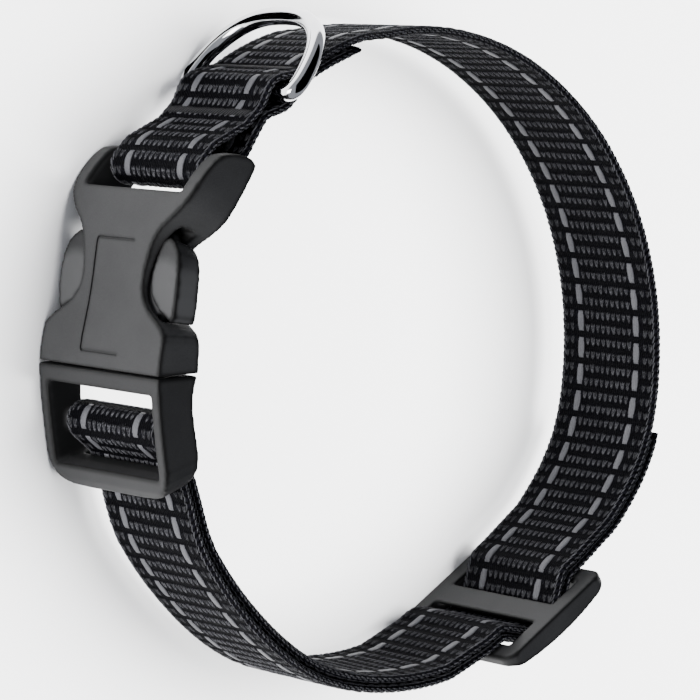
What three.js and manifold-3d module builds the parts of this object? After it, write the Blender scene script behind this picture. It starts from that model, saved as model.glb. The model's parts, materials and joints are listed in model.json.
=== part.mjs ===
// A dog training collar, buckled and lying on its side, in millimetres with +Z up.
//
// Everything follows one closed curve, the neck line, which is the inner face of the strap.
// A place on the collar is given by `along`, the distance on the neck line from the buckle's
// seam (plus towards the plug, minus towards the socket), `lift`, the height outwards from the
// neck line, and `across`, the distance over the strap's width from its middle.
// The buckle's two halves are drawn flat in those three directions and then bent round the neck.

import * as THREE from 'three';
import { mergeVertices } from 'three/addons/utils/BufferGeometryUtils.js';
import Module from 'manifold-3d';

const wasm = await Module();
wasm.setup();

// Neck line
const NECK_RADIUS = 53;
const NECK_STEP_ANGLE = 22.5;
// Reach of the neck line from its centre, from the seam on by equal angles, as shares of the radius.
const NECK_SHAPE = [
  { place: 'seam', reach: 1.000 },
  { place: 'below the buckle', reach: 0.992 },
  { place: 'lower left', reach: 1.006 },
  { place: 'sag, left side', reach: 1.042 },
  { place: 'sag', reach: 1.029 },
  { place: 'slider, lower end', reach: 1.004 },
  { place: 'slider, upper end', reach: 0.995 },
  { place: 'tail', reach: 1.028 },
  { place: 'right', reach: 1.002 },
  { place: 'upper right', reach: 0.986 },
  { place: 'right shoulder', reach: 0.985 },
  { place: 'top, right', reach: 0.992 },
  { place: 'top', reach: 0.998 },
  { place: 'fold', reach: 0.994 },
  { place: 'ring', reach: 0.990 },
  { place: 'socket', reach: 1.000 },
];

// Strap
const STRAP_WIDTH = 25;
const STRAP_THICKNESS = 1.4;
const LAYER_GAP = 0.3;
const STRAP_STEP = 3.2;
const FINE_STEP = 0.9;
const LEAST_STEP = 0.25;
const ARC_STEP_DEGREES = 20;
const TAIL_LENGTH = 27;
const FOLD_LENGTH = 12;
// Distance over which the strap settles on the neck line, beyond its fold and beyond the plug.
const FOLD_SETTLE = 7;
const PLUG_SETTLE = 12;

// Clearances
const FIT = 0.3;
const SIDE_FIT = 0.5;
const ARM_FIT = 0.4;
const BUTTON_FIT = 0.6;
// How far a cut runs past what it cuts.
const PAST = 1;

// Buckle, both halves
const BUCKLE_WIDTH = 33;
const FRONT_LIFT = 5.9;
const BACK_DEPTH = 2.2;
const SEAM_GAP = 0.3;
const STRAP_BAR_RADIUS = 1.7;
const BEND_STEP = 2.6;
const OUTLINE_STEPS = 44;
const FRONT_STEPS = 14;
const BAR_SIDES = 12;

// Buckle socket
const SOCKET_LENGTH = 37.4;
const SOCKET_BODY = SOCKET_LENGTH * 0.717;
const SOCKET_BAR_AT = SOCKET_LENGTH * 0.882;
const SOCKET_BAR_LIFT = 1.9;
const CAVITY_HALF_WIDTH = BUCKLE_WIDTH * 0.4;
const CAVITY_FLOOR = 0.1;
const CAVITY_ROOF = 3.2;
// Half width of the socket's face, as shares of its length from the seam and of half its width.
const SOCKET_WAIST = [
  { along: 0.000, half: 1.000 },
  { along: 0.120, half: 1.000 },
  { along: 0.165, half: 0.975 },
  { along: 0.205, half: 0.850 },
  { along: 0.250, half: 0.665 },
  { along: 0.300, half: 0.550 },
  { along: 0.374, half: 0.507 },
  { along: 0.455, half: 0.540 },
  { along: 0.520, half: 0.590 },
  { along: 0.567, half: 0.670 },
  { along: 0.618, half: 0.820 },
  { along: 0.682, half: 0.950 },
  { along: 0.750, half: 0.995 },
  { along: 0.860, half: 1.000 },
  { along: 1.000, half: 0.960 },
];
// Front of the socket, as shares of its length and of the front lift: a nearly straight body.
const SOCKET_FRONT = [
  { along: 0.000, lift: 1.000 },
  { along: 0.107, lift: 0.915 },
  { along: 0.214, lift: 0.810 },
  { along: 0.320, lift: 0.785 },
  { along: 0.428, lift: 0.860 },
  { along: 0.535, lift: 0.985 },
  { along: 0.615, lift: 1.075 },
  { along: 0.720, lift: 1.100 },
  { along: 0.800, lift: 1.040 },
  { along: 0.870, lift: 0.940 },
];
// Side view of the rails' free ends, in the same shares.
const RAIL_END = [
  { along: 0.910, lift: 0.83 },
  { along: 0.945, lift: 0.58 },
  { along: 0.970, lift: 0.33 },
  { along: 0.992, lift: 0.05 },
  { along: 1.000, lift: -0.15 },
  { along: 0.990, lift: -0.32 },
];

// Buckle plug
const PLUG_LENGTH = 19.2;
const WINDOW_START = 2.7;
const WINDOW_END = PLUG_LENGTH - 4.2;
const WINDOW_HALF_WIDTH = BUCKLE_WIDTH / 2 - 2.3;
const PLUG_BAR_AT = PLUG_LENGTH * 0.49;
const PLUG_BAR_LIFT = 1.5;
const END_BAR_LIFT = 2.0;
const ARM_INNER = 5.5;
const ARM_LENGTH = SOCKET_LENGTH * 0.588;
const CAVITY_DEPTH = ARM_LENGTH + 0.6;
const BUTTON_BACK = -1.6;
const BUTTON_FRONT = 3.0;
const BUTTON_RISE = 0.11;
// Side view of the plug, as shares of its length and of its front lift at the seam.
const PLUG_PROFILE = [
  { along: 0.000, lift: -0.33 },
  { along: 0.090, lift: -0.23 },
  { along: 0.170, lift: -0.16 },
  { along: 0.310, lift: -0.10 },
  { along: 0.600, lift: -0.06 },
  { along: 0.780, lift: 0.04 },
  { along: 0.885, lift: 0.16 },
  { along: 0.958, lift: 0.32 },
  { along: 0.995, lift: 0.51 },
  { along: 1.000, lift: 0.73 },
  { along: 0.985, lift: 0.98 },
  { along: 0.948, lift: 1.13 },
  { along: 0.885, lift: 1.20 },
  { along: 0.780, lift: 1.19 },
  { along: 0.625, lift: 1.12 },
  { along: 0.450, lift: 1.06 },
  { along: 0.250, lift: 1.02 },
  { along: 0.000, lift: 1.00 },
];
// Front view of the plug's end, as shares of its length and of half the buckle's width.
const PLUG_END = [
  { along: 0.720, half: 1.000 },
  { along: 0.800, half: 0.970 },
  { along: 0.870, half: 0.910 },
  { along: 0.925, half: 0.820 },
  { along: 0.960, half: 0.670 },
  { along: 0.985, half: 0.450 },
  { along: 1.000, half: 0.200 },
];
// Outer edge of a sprung arm, as shares of its length and of half the buckle's width.
const ARM_EDGE = [
  { along: 0.33, half: 0.62 },
  { along: 0.45, half: 0.76 },
  { along: 0.82, half: 0.76 },
  { along: 1.00, half: 0.56 },
];
// Outer edge of a side button, as shares of the arm's length and of half the buckle's width.
const BUTTON_EDGE = [
  { along: 0.930, half: 0.740 },
  { along: 0.905, half: 0.815 },
  { along: 0.840, half: 0.910 },
  { along: 0.760, half: 0.955 },
  { along: 0.640, half: 0.976 },
  { along: 0.545, half: 0.978 },
  { along: 0.400, half: 0.957 },
];
const BUTTON_TOP = 0.935;
const BUTTON_FOOT = 0.330;
const BUTTON_STEPS = 16;

// Slider
const SLIDER_AT = 111.5;
const SLIDER_WIDTH = 33;
const SLIDER_LENGTH = 25.4;
const SLIDER_MID_THICKNESS = 3.8;
const SLIDER_END_THICKNESS = 2.4;
const SLIDER_END_BAR = 3.8;
const SLIDER_MID_BAR = 4.9;
const SLIDER_MID_BAR_THICKNESS = 1.6;
const SLIDER_CORNER = 2.4;
const SLIDER_EDGE = 0.4;
const SLOT_HALF_WIDTH = 13.1;
const PEG_RADIUS = 0.5;
// How much the ends of the slider's front fall off, and how late along its length they do.
const CROWN_FALL = 0.25;
const CROWN_POWER = 16;
const CROWN_STEPS = 12;
const CORNER_STEPS = 5;
// How deep the strap is drawn in between the neck line and the slider.
const SLIDER_SINK = 1.35;
// Where the strap starts to turn to the slider and where it meets it, as shares of its length.
const SLIDER_LEAD = 0.85;
const SLIDER_MOUTH = 0.47;
// Keeps the line that meets the slider just off its first bend.
const TANGENT_SLACK = 0.02;

// D-ring
const RING_AT = -SOCKET_LENGTH - 13.4;
const RING_WIRE_RADIUS = 1.5;
const RING_HEIGHT = 15.8;
const RING_WIDTH = 33;
const RING_LEAN = 15;
const RING_BAR_LIFT = 0.9;
const RING_ROUNDNESS = 0.8;
const RING_CORNER = 1.8;
const RING_BOW_STEPS = 20;
const RING_STEPS = 72;
const RING_SIDES = 10;

// Sewn stretch between the socket and the fold, heights of the strap's middle over the neck line.
const RING_SPREAD = RING_WIRE_RADIUS + LAYER_GAP + STRAP_THICKNESS / 2;
const LAYER_PITCH = STRAP_THICKNESS + LAYER_GAP;
const FIRST_SEAM_FROM_RING = 5.2;
const SECOND_SEAM_FROM_RING = 5.6;
const FIRST_SEAM_AT = RING_AT + FIRST_SEAM_FROM_RING;
const SECOND_SEAM_AT = RING_AT - SECOND_SEAM_FROM_RING;
const FIRST_SEAM_LIFT = -0.1;
const SECOND_SEAM_LIFT = -0.2;
// Beside the socket's bar, as shares of the way to the first seam: where the inner layer is lowest,
// and where the outer layer starts to come down and where it lies on the inner one.
const INNER_DIP = 0.5;
const INNER_DIP_LIFT = -1.5;
const OUTER_SHOULDER = 0.24;
const OUTER_DIP = 0.74;
const OUTER_SHOULDER_LIFT = SOCKET_BAR_LIFT + STRAP_BAR_RADIUS + STRAP_THICKNESS / 2;
const FOLD_AT = SECOND_SEAM_AT - FOLD_LENGTH;
const SINGLE_LIFT = STRAP_THICKNESS / 2;

const PLASTIC = { color: 0x4a4a4c, roughness: 0.55, metalness: 0 };
const WEBBING = { color: 0x17171b, roughness: 0.9, metalness: 0 };
const STEEL = { color: 0xd8d8da, roughness: 0.12, metalness: 1 };

const mix = (a, b, t) => a + (b - a) * t;
const smooth = (t) => t * t * (3 - 2 * t);

// Value of a table at a place, easing from row to row. `key` rises down the table.
function ease(rows, key, value, at) {
  const last = rows.length - 1;
  if (at <= rows[0][key]) return rows[0][value];
  if (at >= rows[last][key]) return rows[last][value];
  const next = rows.findIndex((row) => row[key] > at);
  const before = rows[next - 1];
  const after = rows[next];
  const share = (at - before[key]) / (after[key] - before[key]);
  return mix(before[value], after[value], smooth(share));
}

// The neck line as a dense list of places, tangents and distances.
function makeNeck() {
  const corners = NECK_SHAPE.map((row, index) => {
    const angle = THREE.MathUtils.degToRad(180 + index * NECK_STEP_ANGLE);
    const reach = NECK_RADIUS * row.reach;
    return new THREE.Vector3(reach * Math.cos(angle), reach * Math.sin(angle), 0);
  });
  const curve = new THREE.CatmullRomCurve3(corners, true, 'centripetal');
  curve.arcLengthDivisions = 1600;
  const length = curve.getLength();
  const at = (along) => {
    const share = THREE.MathUtils.euclideanModulo(along / length, 1);
    const point = curve.getPointAt(share);
    const tangent = curve.getTangentAt(share);
    return { point, tangent, normal: new THREE.Vector3(tangent.y, -tangent.x, 0) };
  };
  return { length, at };
}
const neck = makeNeck();

// A place on the neck line, lifted outwards, as a point of the plan.
function planPoint(along, lift) {
  const { point, normal } = neck.at(along);
  return new THREE.Vector2(point.x + normal.x * lift, point.y + normal.y * lift);
}

function toSolid(geometry) {
  const bare = geometry.index ? geometry.toNonIndexed() : geometry.clone();
  bare.deleteAttribute('normal');
  bare.deleteAttribute('uv');
  const merged = mergeVertices(bare, 1e-4);
  return new wasm.Manifold(new wasm.Mesh({
    numProp: 3,
    vertProperties: new Float32Array(merged.attributes.position.array),
    triVerts: new Uint32Array(merged.index.array),
  }));
}

function toGeometry(solid) {
  const mesh = solid.getMesh();
  const geometry = new THREE.BufferGeometry();
  geometry.setAttribute('position', new THREE.BufferAttribute(new Float32Array(mesh.vertProperties), 3));
  geometry.setIndex(new THREE.BufferAttribute(new Uint32Array(mesh.triVerts), 1));
  return geometry;
}

// A block between two corners.
function block(low, high) {
  const size = high.map((value, axis) => value - low[axis]);
  const geometry = new THREE.BoxGeometry(...size);
  geometry.translate(...low.map((value, axis) => value + size[axis] / 2));
  return toSolid(geometry);
}

// An outline of [along, across] points, given thickness from one lift to another.
function plate(points, fromLift, toLift) {
  const shape = new THREE.Shape(points.map(([x, y]) => new THREE.Vector2(x, y)));
  const geometry = new THREE.ExtrudeGeometry(shape, { depth: toLift - fromLift, bevelEnabled: false });
  geometry.translate(0, 0, fromLift);
  return toSolid(geometry);
}

// An outline of [along, lift] points, given the whole width across.
function profile(points, width) {
  const shape = new THREE.Shape(points.map(([x, y]) => new THREE.Vector2(x, y)));
  const geometry = new THREE.ExtrudeGeometry(shape, { depth: width, bevelEnabled: false });
  geometry.rotateX(Math.PI / 2);
  geometry.translate(0, width / 2, 0);
  return toSolid(geometry);
}

// A round bar over the width.
function crossBar(along, lift, radius, width) {
  const geometry = new THREE.CylinderGeometry(radius, radius, width, BAR_SIDES);
  geometry.translate(along, 0, lift);
  return toSolid(geometry);
}

// Cuts every triangle that crosses one of the planes `along` = station, so a flat solid can bend.
function cutAtStations(geometry, stations) {
  let triangles = [];
  const position = geometry.attributes.position;
  for (let i = 0; i < geometry.index.count; i += 3) {
    triangles.push([0, 1, 2].map((k) => {
      const vertex = geometry.index.getX(i + k);
      return [position.getX(vertex), position.getY(vertex), position.getZ(vertex)];
    }));
  }
  const tiny = 1e-5;
  const side = (point, station) => {
    const past = point[0] - station;
    return Math.abs(past) < tiny ? 0 : Math.sign(past);
  };
  const crossing = (a, b, station) => {
    const [low, high] = a[0] < b[0] ? [a, b] : [b, a];
    const share = (station - low[0]) / (high[0] - low[0]);
    return [station, mix(low[1], high[1], share), mix(low[2], high[2], share)];
  };
  for (const station of stations) {
    const next = [];
    for (const triangle of triangles) {
      const sides = triangle.map((point) => side(point, station));
      if (!(sides.includes(1) && sides.includes(-1))) {
        next.push(triangle);
        continue;
      }
      const halves = { 1: [], '-1': [] };
      for (let k = 0; k < 3; k += 1) {
        const here = triangle[k];
        const after = triangle[(k + 1) % 3];
        const hereSide = sides[k];
        const afterSide = sides[(k + 1) % 3];
        if (hereSide >= 0) halves[1].push(here);
        if (hereSide <= 0) halves[-1].push(here);
        if (hereSide * afterSide < 0) {
          const cut = crossing(here, after, station);
          halves[1].push(cut);
          halves[-1].push(cut);
        }
      }
      for (const polygon of [halves[1], halves[-1]]) {
        for (let k = 1; k + 1 < polygon.length; k += 1) {
          next.push([polygon[0], polygon[k], polygon[k + 1]]);
        }
      }
    }
    triangles = next;
  }
  const cut = new THREE.BufferGeometry();
  cut.setAttribute('position', new THREE.Float32BufferAttribute(triangles.flat(2), 3));
  return mergeVertices(cut, 1e-4);
}

// Bends a flat solid round the neck: its x is along, its y across and its z lift.
function bendRoundNeck(solid) {
  const flat = toGeometry(solid);
  flat.computeBoundingBox();
  const { min, max } = flat.boundingBox;
  const count = Math.ceil((max.x - min.x) / BEND_STEP);
  const stations = Array.from({ length: count - 1 }, (_, i) => mix(min.x, max.x, (i + 1) / count));
  const geometry = cutAtStations(flat, stations);
  const position = geometry.attributes.position;
  for (let i = 0; i < position.count; i += 1) {
    const place = planPoint(position.getX(i), position.getZ(i));
    position.setXYZ(i, place.x, place.y, position.getY(i));
  }
  return geometry;
}

function makeMesh(name, geometry, finish) {
  const mesh = new THREE.Mesh(geometry, new THREE.MeshStandardMaterial(finish));
  mesh.name = name;
  return mesh;
}

// A smooth line through a table's rows.
function lineThrough(rows, value) {
  const line = new THREE.CubicInterpolant(rows.map((row) => row.along), rows.map((row) => row[value]), 1);
  return (along) => line.evaluate(along)[0];
}
const waistLine = lineThrough(SOCKET_WAIST, 'half');
const frontLine = lineThrough(SOCKET_FRONT, 'lift');

// Half width of the socket's face at a distance from the seam.
function socketHalfWidth(distance) {
  return BUCKLE_WIDTH / 2 * Math.min(waistLine(distance / SOCKET_LENGTH), 1);
}

function makeSocket() {
  const near = Array.from({ length: OUTLINE_STEPS + 1 }, (_, i) => {
    const distance = mix(SEAM_GAP / 2, SOCKET_LENGTH, i / OUTLINE_STEPS);
    return [-distance, socketHalfWidth(distance)];
  });
  const far = near.map(([along, half]) => [along, -half]).reverse();
  const outline = [...near, ...far].reverse();
  let solid = plate(outline, -BACK_DEPTH, FRONT_LIFT + PAST);
  const frontEnd = SOCKET_FRONT[SOCKET_FRONT.length - 1].along;
  const front = Array.from({ length: FRONT_STEPS + 1 }, (_, i) => {
    const along = mix(0, frontEnd, i / FRONT_STEPS);
    return [-SOCKET_LENGTH * along, FRONT_LIFT * frontLine(along)];
  });
  const side = [
    [PAST, -BACK_DEPTH - PAST],
    [PAST, FRONT_LIFT],
    ...front,
    ...RAIL_END.map((row) => [-SOCKET_LENGTH * row.along, FRONT_LIFT * row.lift]),
    [-SOCKET_LENGTH * frontEnd, -BACK_DEPTH - PAST],
  ];
  solid = solid.intersect(profile(side, BUCKLE_WIDTH + 2 * PAST));
  const railInside = STRAP_WIDTH / 2 + SIDE_FIT;
  solid = solid.subtract(block(
    [-SOCKET_LENGTH - PAST, -railInside, -BACK_DEPTH - PAST],
    [-SOCKET_BODY, railInside, FRONT_LIFT + 2 * PAST],
  ));
  solid = solid.subtract(block(
    [-CAVITY_DEPTH, -CAVITY_HALF_WIDTH, CAVITY_FLOOR],
    [PAST, CAVITY_HALF_WIDTH, CAVITY_ROOF],
  ));
  solid = solid.add(crossBar(-SOCKET_BAR_AT, SOCKET_BAR_LIFT, STRAP_BAR_RADIUS, 2 * (railInside + PAST)));
  return makeMesh('buckle_socket', bendRoundNeck(solid), PLASTIC);
}

// A side button leans outwards towards its free end, like the straight arm that carries it.
function risingPlate(points) {
  const foot = -ARM_LENGTH * BUTTON_FOOT;
  const shape = new THREE.Shape(points.map(([x, y]) => new THREE.Vector2(x, y)));
  const depth = BUTTON_FRONT - BUTTON_BACK;
  const geometry = new THREE.ExtrudeGeometry(shape, { depth, bevelEnabled: false });
  geometry.translate(-foot, 0, BUTTON_BACK);
  geometry.applyMatrix4(new THREE.Matrix4().makeShear(0, -BUTTON_RISE, 0, 0, 0, 0));
  geometry.translate(foot, 0, 0);
  return toSolid(geometry);
}

// A side button: its inner edge keeps clear of the socket's waist, its outer edge bulges.
function buttonOutline() {
  const inner = [];
  for (let i = 0; i <= BUTTON_STEPS; i += 1) {
    const distance = ARM_LENGTH * mix(BUTTON_TOP, BUTTON_FOOT, i / BUTTON_STEPS);
    const reach = 0.05;
    const slope = (socketHalfWidth(distance + reach) - socketHalfWidth(distance - reach)) / (2 * reach);
    const size = Math.hypot(1, slope);
    const along = distance - BUTTON_FIT * slope / size;
    inner.push([-along, socketHalfWidth(distance) + BUTTON_FIT / size]);
  }
  const outer = BUTTON_EDGE.map((row) => [-ARM_LENGTH * row.along, BUCKLE_WIDTH / 2 * row.half]);
  const tallest = Math.max(...outer.map((point) => point[1]));
  const kept = inner.filter((point) => point[1] < tallest);
  return [...kept, ...outer.reverse()];
}

function makePlug() {
  const side = PLUG_PROFILE.map((row) => [
    mix(SEAM_GAP / 2, PLUG_LENGTH, row.along),
    FRONT_LIFT * row.lift,
  ]);
  let solid = profile(side, BUCKLE_WIDTH);
  const endHalf = PLUG_END.map((row) => [PLUG_LENGTH * row.along, BUCKLE_WIDTH / 2 * row.half]);
  const front = [
    [0, -BUCKLE_WIDTH / 2],
    ...endHalf.map(([along, across]) => [along, -across]),
    ...endHalf.reverse(),
    [0, BUCKLE_WIDTH / 2],
  ];
  solid = solid.intersect(plate(front, -BACK_DEPTH - PAST, 2 * FRONT_LIFT));
  const inside = STRAP_WIDTH / 2 + SIDE_FIT;
  solid = solid.subtract(block(
    [WINDOW_START, -WINDOW_HALF_WIDTH, -BACK_DEPTH - PAST],
    [WINDOW_END, WINDOW_HALF_WIDTH, 2 * FRONT_LIFT],
  ));
  solid = solid.subtract(block(
    [WINDOW_START, -inside, -BACK_DEPTH - PAST],
    [PLUG_LENGTH + PAST, inside, END_BAR_LIFT],
  ));
  solid = solid.add(crossBar(PLUG_BAR_AT, PLUG_BAR_LIFT, STRAP_BAR_RADIUS, 2 * (WINDOW_HALF_WIDTH + PAST)));
  const root = WINDOW_START / 2;
  const half = BUCKLE_WIDTH / 2;
  const armFloor = CAVITY_FLOOR + ARM_FIT;
  const armRoof = CAVITY_ROOF - ARM_FIT;
  for (const hand of [1, -1]) {
    const turn = (points) => {
      const placed = points.map(([along, across]) => [along, hand * across]);
      return THREE.ShapeUtils.area(placed.map(([x, y]) => new THREE.Vector2(x, y))) > 0
        ? placed
        : placed.reverse();
    };
    const arm = turn([
      [root, ARM_INNER],
      [root, half * ARM_EDGE[0].half],
      ...ARM_EDGE.map((row) => [-ARM_LENGTH * row.along, half * row.half]),
      [-ARM_LENGTH, ARM_INNER],
    ]);
    solid = solid.add(plate(arm, armFloor, armRoof));
    solid = solid.add(risingPlate(turn(buttonOutline())));
  }
  return makeMesh('buckle_plug', bendRoundNeck(solid), PLASTIC);
}

// Where the slider lies: its inner face is a flat plane square to the neck's normal there.
const sliderFrame = (() => {
  const { point, tangent, normal } = neck.at(SLIDER_AT);
  const endBarMiddle = (SLIDER_LENGTH - SLIDER_END_BAR) / 2;
  const fall = endBarMiddle ** 2 / (2 * point.length());
  const hump = LAYER_GAP + FIT + 2 * STRAP_THICKNESS;
  const lift = hump - SLIDER_SINK - fall;
  return { origin: point.clone().addScaledVector(normal, lift), tangent, normal };
})();

// A point of the plan from the slider's own length and height.
function sliderPoint(length, height) {
  const { origin, tangent, normal } = sliderFrame;
  return new THREE.Vector2(
    origin.x + tangent.x * length + normal.x * height,
    origin.y + tangent.y * length + normal.y * height,
  );
}

function makeSlider() {
  const half = SLIDER_LENGTH / 2;
  const rise = SLIDER_MID_THICKNESS - SLIDER_END_THICKNESS;
  const crown = Array.from({ length: CROWN_STEPS + 1 }, (_, i) => {
    const share = mix(1, -1, i / CROWN_STEPS);
    const end = SLIDER_END_THICKNESS * (1 - CROWN_FALL * share ** CROWN_POWER);
    return [half * share, end + rise * (1 - share ** 2)];
  });
  const back = [
    [-half, SLIDER_EDGE],
    [-half + SLIDER_EDGE, 0],
    [half - SLIDER_EDGE, 0],
    [half, SLIDER_EDGE],
  ];
  let solid = profile([...back, ...crown], SLIDER_WIDTH);
  const corner = new THREE.Shape();
  const across = SLIDER_WIDTH / 2;
  const quarter = Math.PI / 2;
  for (let turn = 0; turn < 4; turn += 1) {
    const right = turn === 0 || turn === 3;
    const top = turn < 2;
    const x = (half - SLIDER_CORNER) * (right ? 1 : -1);
    const y = (across - SLIDER_CORNER) * (top ? 1 : -1);
    corner.absarc(x, y, SLIDER_CORNER, turn * quarter, (turn + 1) * quarter, false);
  }
  const rounded = new THREE.ExtrudeGeometry(corner, {
    depth: SLIDER_MID_THICKNESS + 2 * PAST,
    bevelEnabled: false,
    curveSegments: CORNER_STEPS,
  });
  rounded.translate(0, 0, -PAST);
  solid = solid.intersect(toSolid(rounded));
  const slotEnd = half - SLIDER_END_BAR;
  const midHalf = SLIDER_MID_BAR / 2;
  for (const hand of [1, -1]) {
    const [low, high] = hand > 0 ? [midHalf, slotEnd] : [-slotEnd, -midHalf];
    solid = solid.subtract(block(
      [low, -SLOT_HALF_WIDTH, -PAST],
      [high, SLOT_HALF_WIDTH, SLIDER_MID_THICKNESS + PAST],
    ));
    const lip = [
      [hand * slotEnd, -PAST],
      [hand * (slotEnd + PEG_RADIUS), -PAST],
      [hand * (slotEnd + PEG_RADIUS), 0],
      [hand * slotEnd, PEG_RADIUS],
    ];
    solid = solid.subtract(profile(hand > 0 ? lip : lip.reverse(), 2 * SLOT_HALF_WIDTH));
    const shoulder = [
      [hand * (midHalf + PAST), SLIDER_MID_BAR_THICKNESS + PAST],
      [hand * (midHalf - 2 * PEG_RADIUS), SLIDER_MID_BAR_THICKNESS + PAST],
      [hand * (midHalf - 2 * PEG_RADIUS), SLIDER_MID_BAR_THICKNESS],
      [hand * midHalf, SLIDER_MID_BAR_THICKNESS - 2 * PEG_RADIUS],
      [hand * (midHalf + PAST), SLIDER_MID_BAR_THICKNESS - 2 * PEG_RADIUS],
    ];
    solid = solid.subtract(profile(hand > 0 ? shoulder : shoulder.reverse(), 2 * SLOT_HALF_WIDTH));
  }
  solid = solid.subtract(block(
    [-slotEnd, -SLOT_HALF_WIDTH, SLIDER_MID_BAR_THICKNESS],
    [slotEnd, SLOT_HALF_WIDTH, SLIDER_MID_THICKNESS + PAST],
  ));
  const geometry = toGeometry(solid);
  const { origin, tangent, normal } = sliderFrame;
  const across3 = new THREE.Vector3(0, 0, 1);
  const placed = new THREE.Matrix4().makeBasis(tangent, across3, normal).setPosition(origin);
  geometry.applyMatrix4(placed);
  return makeMesh('strap_slider', geometry, PLASTIC);
}

// Line of travel round pegs. Each peg has a place, a radius and a hand: +1 where the strap turns
// to its left round it, -1 to its right, 0 where the strap only passes through the point.
function roundPegs(pegs) {
  const path = [];
  let before = null;
  for (let i = 0; i + 1 < pegs.length; i += 1) {
    const from = pegs[i];
    const to = pegs[i + 1];
    const reach = new THREE.Vector2().subVectors(to.at, from.at);
    const swing = to.radius * to.hand - from.radius * from.hand;
    const straight = Math.sqrt(Math.max(reach.lengthSq() - swing ** 2, 1e-9));
    const heading = reach.angle() - Math.atan2(swing, straight);
    const left = new THREE.Vector2(-Math.sin(heading), Math.cos(heading));
    const leave = from.at.clone().addScaledVector(left, -from.radius * from.hand);
    const arrive = to.at.clone().addScaledVector(left, -to.radius * to.hand);
    if (from.hand === 0 || before === null) {
      path.push(leave);
    } else {
      path.push(...pegArc(from, before, heading));
    }
    path.push(...fillLine(path[path.length - 1], arrive));
    before = heading;
  }
  path.push(pegs[pegs.length - 1].at.clone());
  return path;
}

function pegArc(peg, before, after) {
  const turn = THREE.MathUtils.euclideanModulo((after - before) * peg.hand, 2 * Math.PI);
  const count = Math.max(1, Math.ceil(turn / THREE.MathUtils.degToRad(ARC_STEP_DEGREES)));
  return Array.from({ length: count + 1 }, (_, i) => {
    const heading = before + peg.hand * turn * (i / count);
    const left = new THREE.Vector2(-Math.sin(heading), Math.cos(heading));
    return peg.at.clone().addScaledVector(left, -peg.radius * peg.hand);
  });
}

function fillLine(from, to) {
  const count = Math.floor(from.distanceTo(to) / STRAP_STEP);
  return Array.from({ length: Math.max(count - 1, 0) }, (_, i) => from.clone().lerp(to, (i + 1) / count));
}

// A run of the strap over the neck line from one place to another, its lifts eased between rows.
function run(from, to, rows, step = STRAP_STEP) {
  const count = Math.ceil(Math.abs(to - from) / step);
  const rising = [...rows].sort((a, b) => a.along - b.along);
  return Array.from({ length: count + 1 }, (_, i) => {
    const along = mix(from, to, i / count);
    return planPoint(along, ease(rising, 'along', 'lift', along));
  });
}

// The same path, moved sideways to its left.
function offsetPath(path, distance) {
  return path.map((point, i) => {
    const before = path[Math.max(i - 1, 0)];
    const after = path[Math.min(i + 1, path.length - 1)];
    const ahead = new THREE.Vector2().subVectors(after, before).normalize();
    return new THREE.Vector2(point.x - ahead.y * distance, point.y + ahead.x * distance);
  });
}

// Drops points that lie too close to the one before.
function thinOut(path) {
  const kept = [path[0]];
  for (const point of path.slice(1)) {
    if (point.distanceTo(kept[kept.length - 1]) > LEAST_STEP) kept.push(point);
  }
  return kept;
}

// Radius of the strap's middle where it turns round a strap bar.
const ROLL_RADIUS = STRAP_BAR_RADIUS + FIT + STRAP_THICKNESS / 2;

// From the folded end under the ring, round the socket's bar and back over the ring, to the slider.
function socketSide() {
  const settled = FOLD_AT - LAYER_GAP - FOLD_SETTLE;
  const innerRows = [
    { along: FOLD_AT, lift: SECOND_SEAM_LIFT },
    { along: SECOND_SEAM_AT, lift: SECOND_SEAM_LIFT },
    { along: RING_AT, lift: RING_BAR_LIFT - RING_SPREAD },
    { along: FIRST_SEAM_AT, lift: FIRST_SEAM_LIFT },
    { along: mix(-SOCKET_BAR_AT, FIRST_SEAM_AT, INNER_DIP), lift: INNER_DIP_LIFT },
    { along: -SOCKET_BAR_AT, lift: SOCKET_BAR_LIFT - ROLL_RADIUS },
  ];
  const outerRows = [
    { along: -SOCKET_BAR_AT, lift: SOCKET_BAR_LIFT + ROLL_RADIUS },
    { along: mix(-SOCKET_BAR_AT, FIRST_SEAM_AT, OUTER_SHOULDER), lift: OUTER_SHOULDER_LIFT },
    { along: mix(-SOCKET_BAR_AT, FIRST_SEAM_AT, OUTER_DIP), lift: FIRST_SEAM_LIFT + LAYER_PITCH },
    { along: FIRST_SEAM_AT, lift: FIRST_SEAM_LIFT + LAYER_PITCH },
    { along: RING_AT, lift: RING_BAR_LIFT + RING_SPREAD },
    { along: SECOND_SEAM_AT, lift: SECOND_SEAM_LIFT + LAYER_PITCH },
    { along: FOLD_AT - LAYER_GAP, lift: SECOND_SEAM_LIFT + LAYER_PITCH },
    { along: settled, lift: SINGLE_LIFT },
  ];
  return [
    ...run(FOLD_AT, SECOND_SEAM_AT, innerRows),
    ...run(SECOND_SEAM_AT, FIRST_SEAM_AT, innerRows, FINE_STEP),
    ...run(FIRST_SEAM_AT, -SOCKET_BAR_AT, innerRows),
    ...flatArc(-SOCKET_BAR_AT, SOCKET_BAR_LIFT, ROLL_RADIUS, -90, 90),
    ...run(-SOCKET_BAR_AT, FIRST_SEAM_AT, outerRows),
    ...run(FIRST_SEAM_AT, SECOND_SEAM_AT, outerRows, FINE_STEP),
    ...run(SECOND_SEAM_AT, settled, outerRows),
    ...run(settled, SLIDER_AT - neck.length + SLIDER_LENGTH * SLIDER_LEAD, outerRows),
  ];
}

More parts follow.
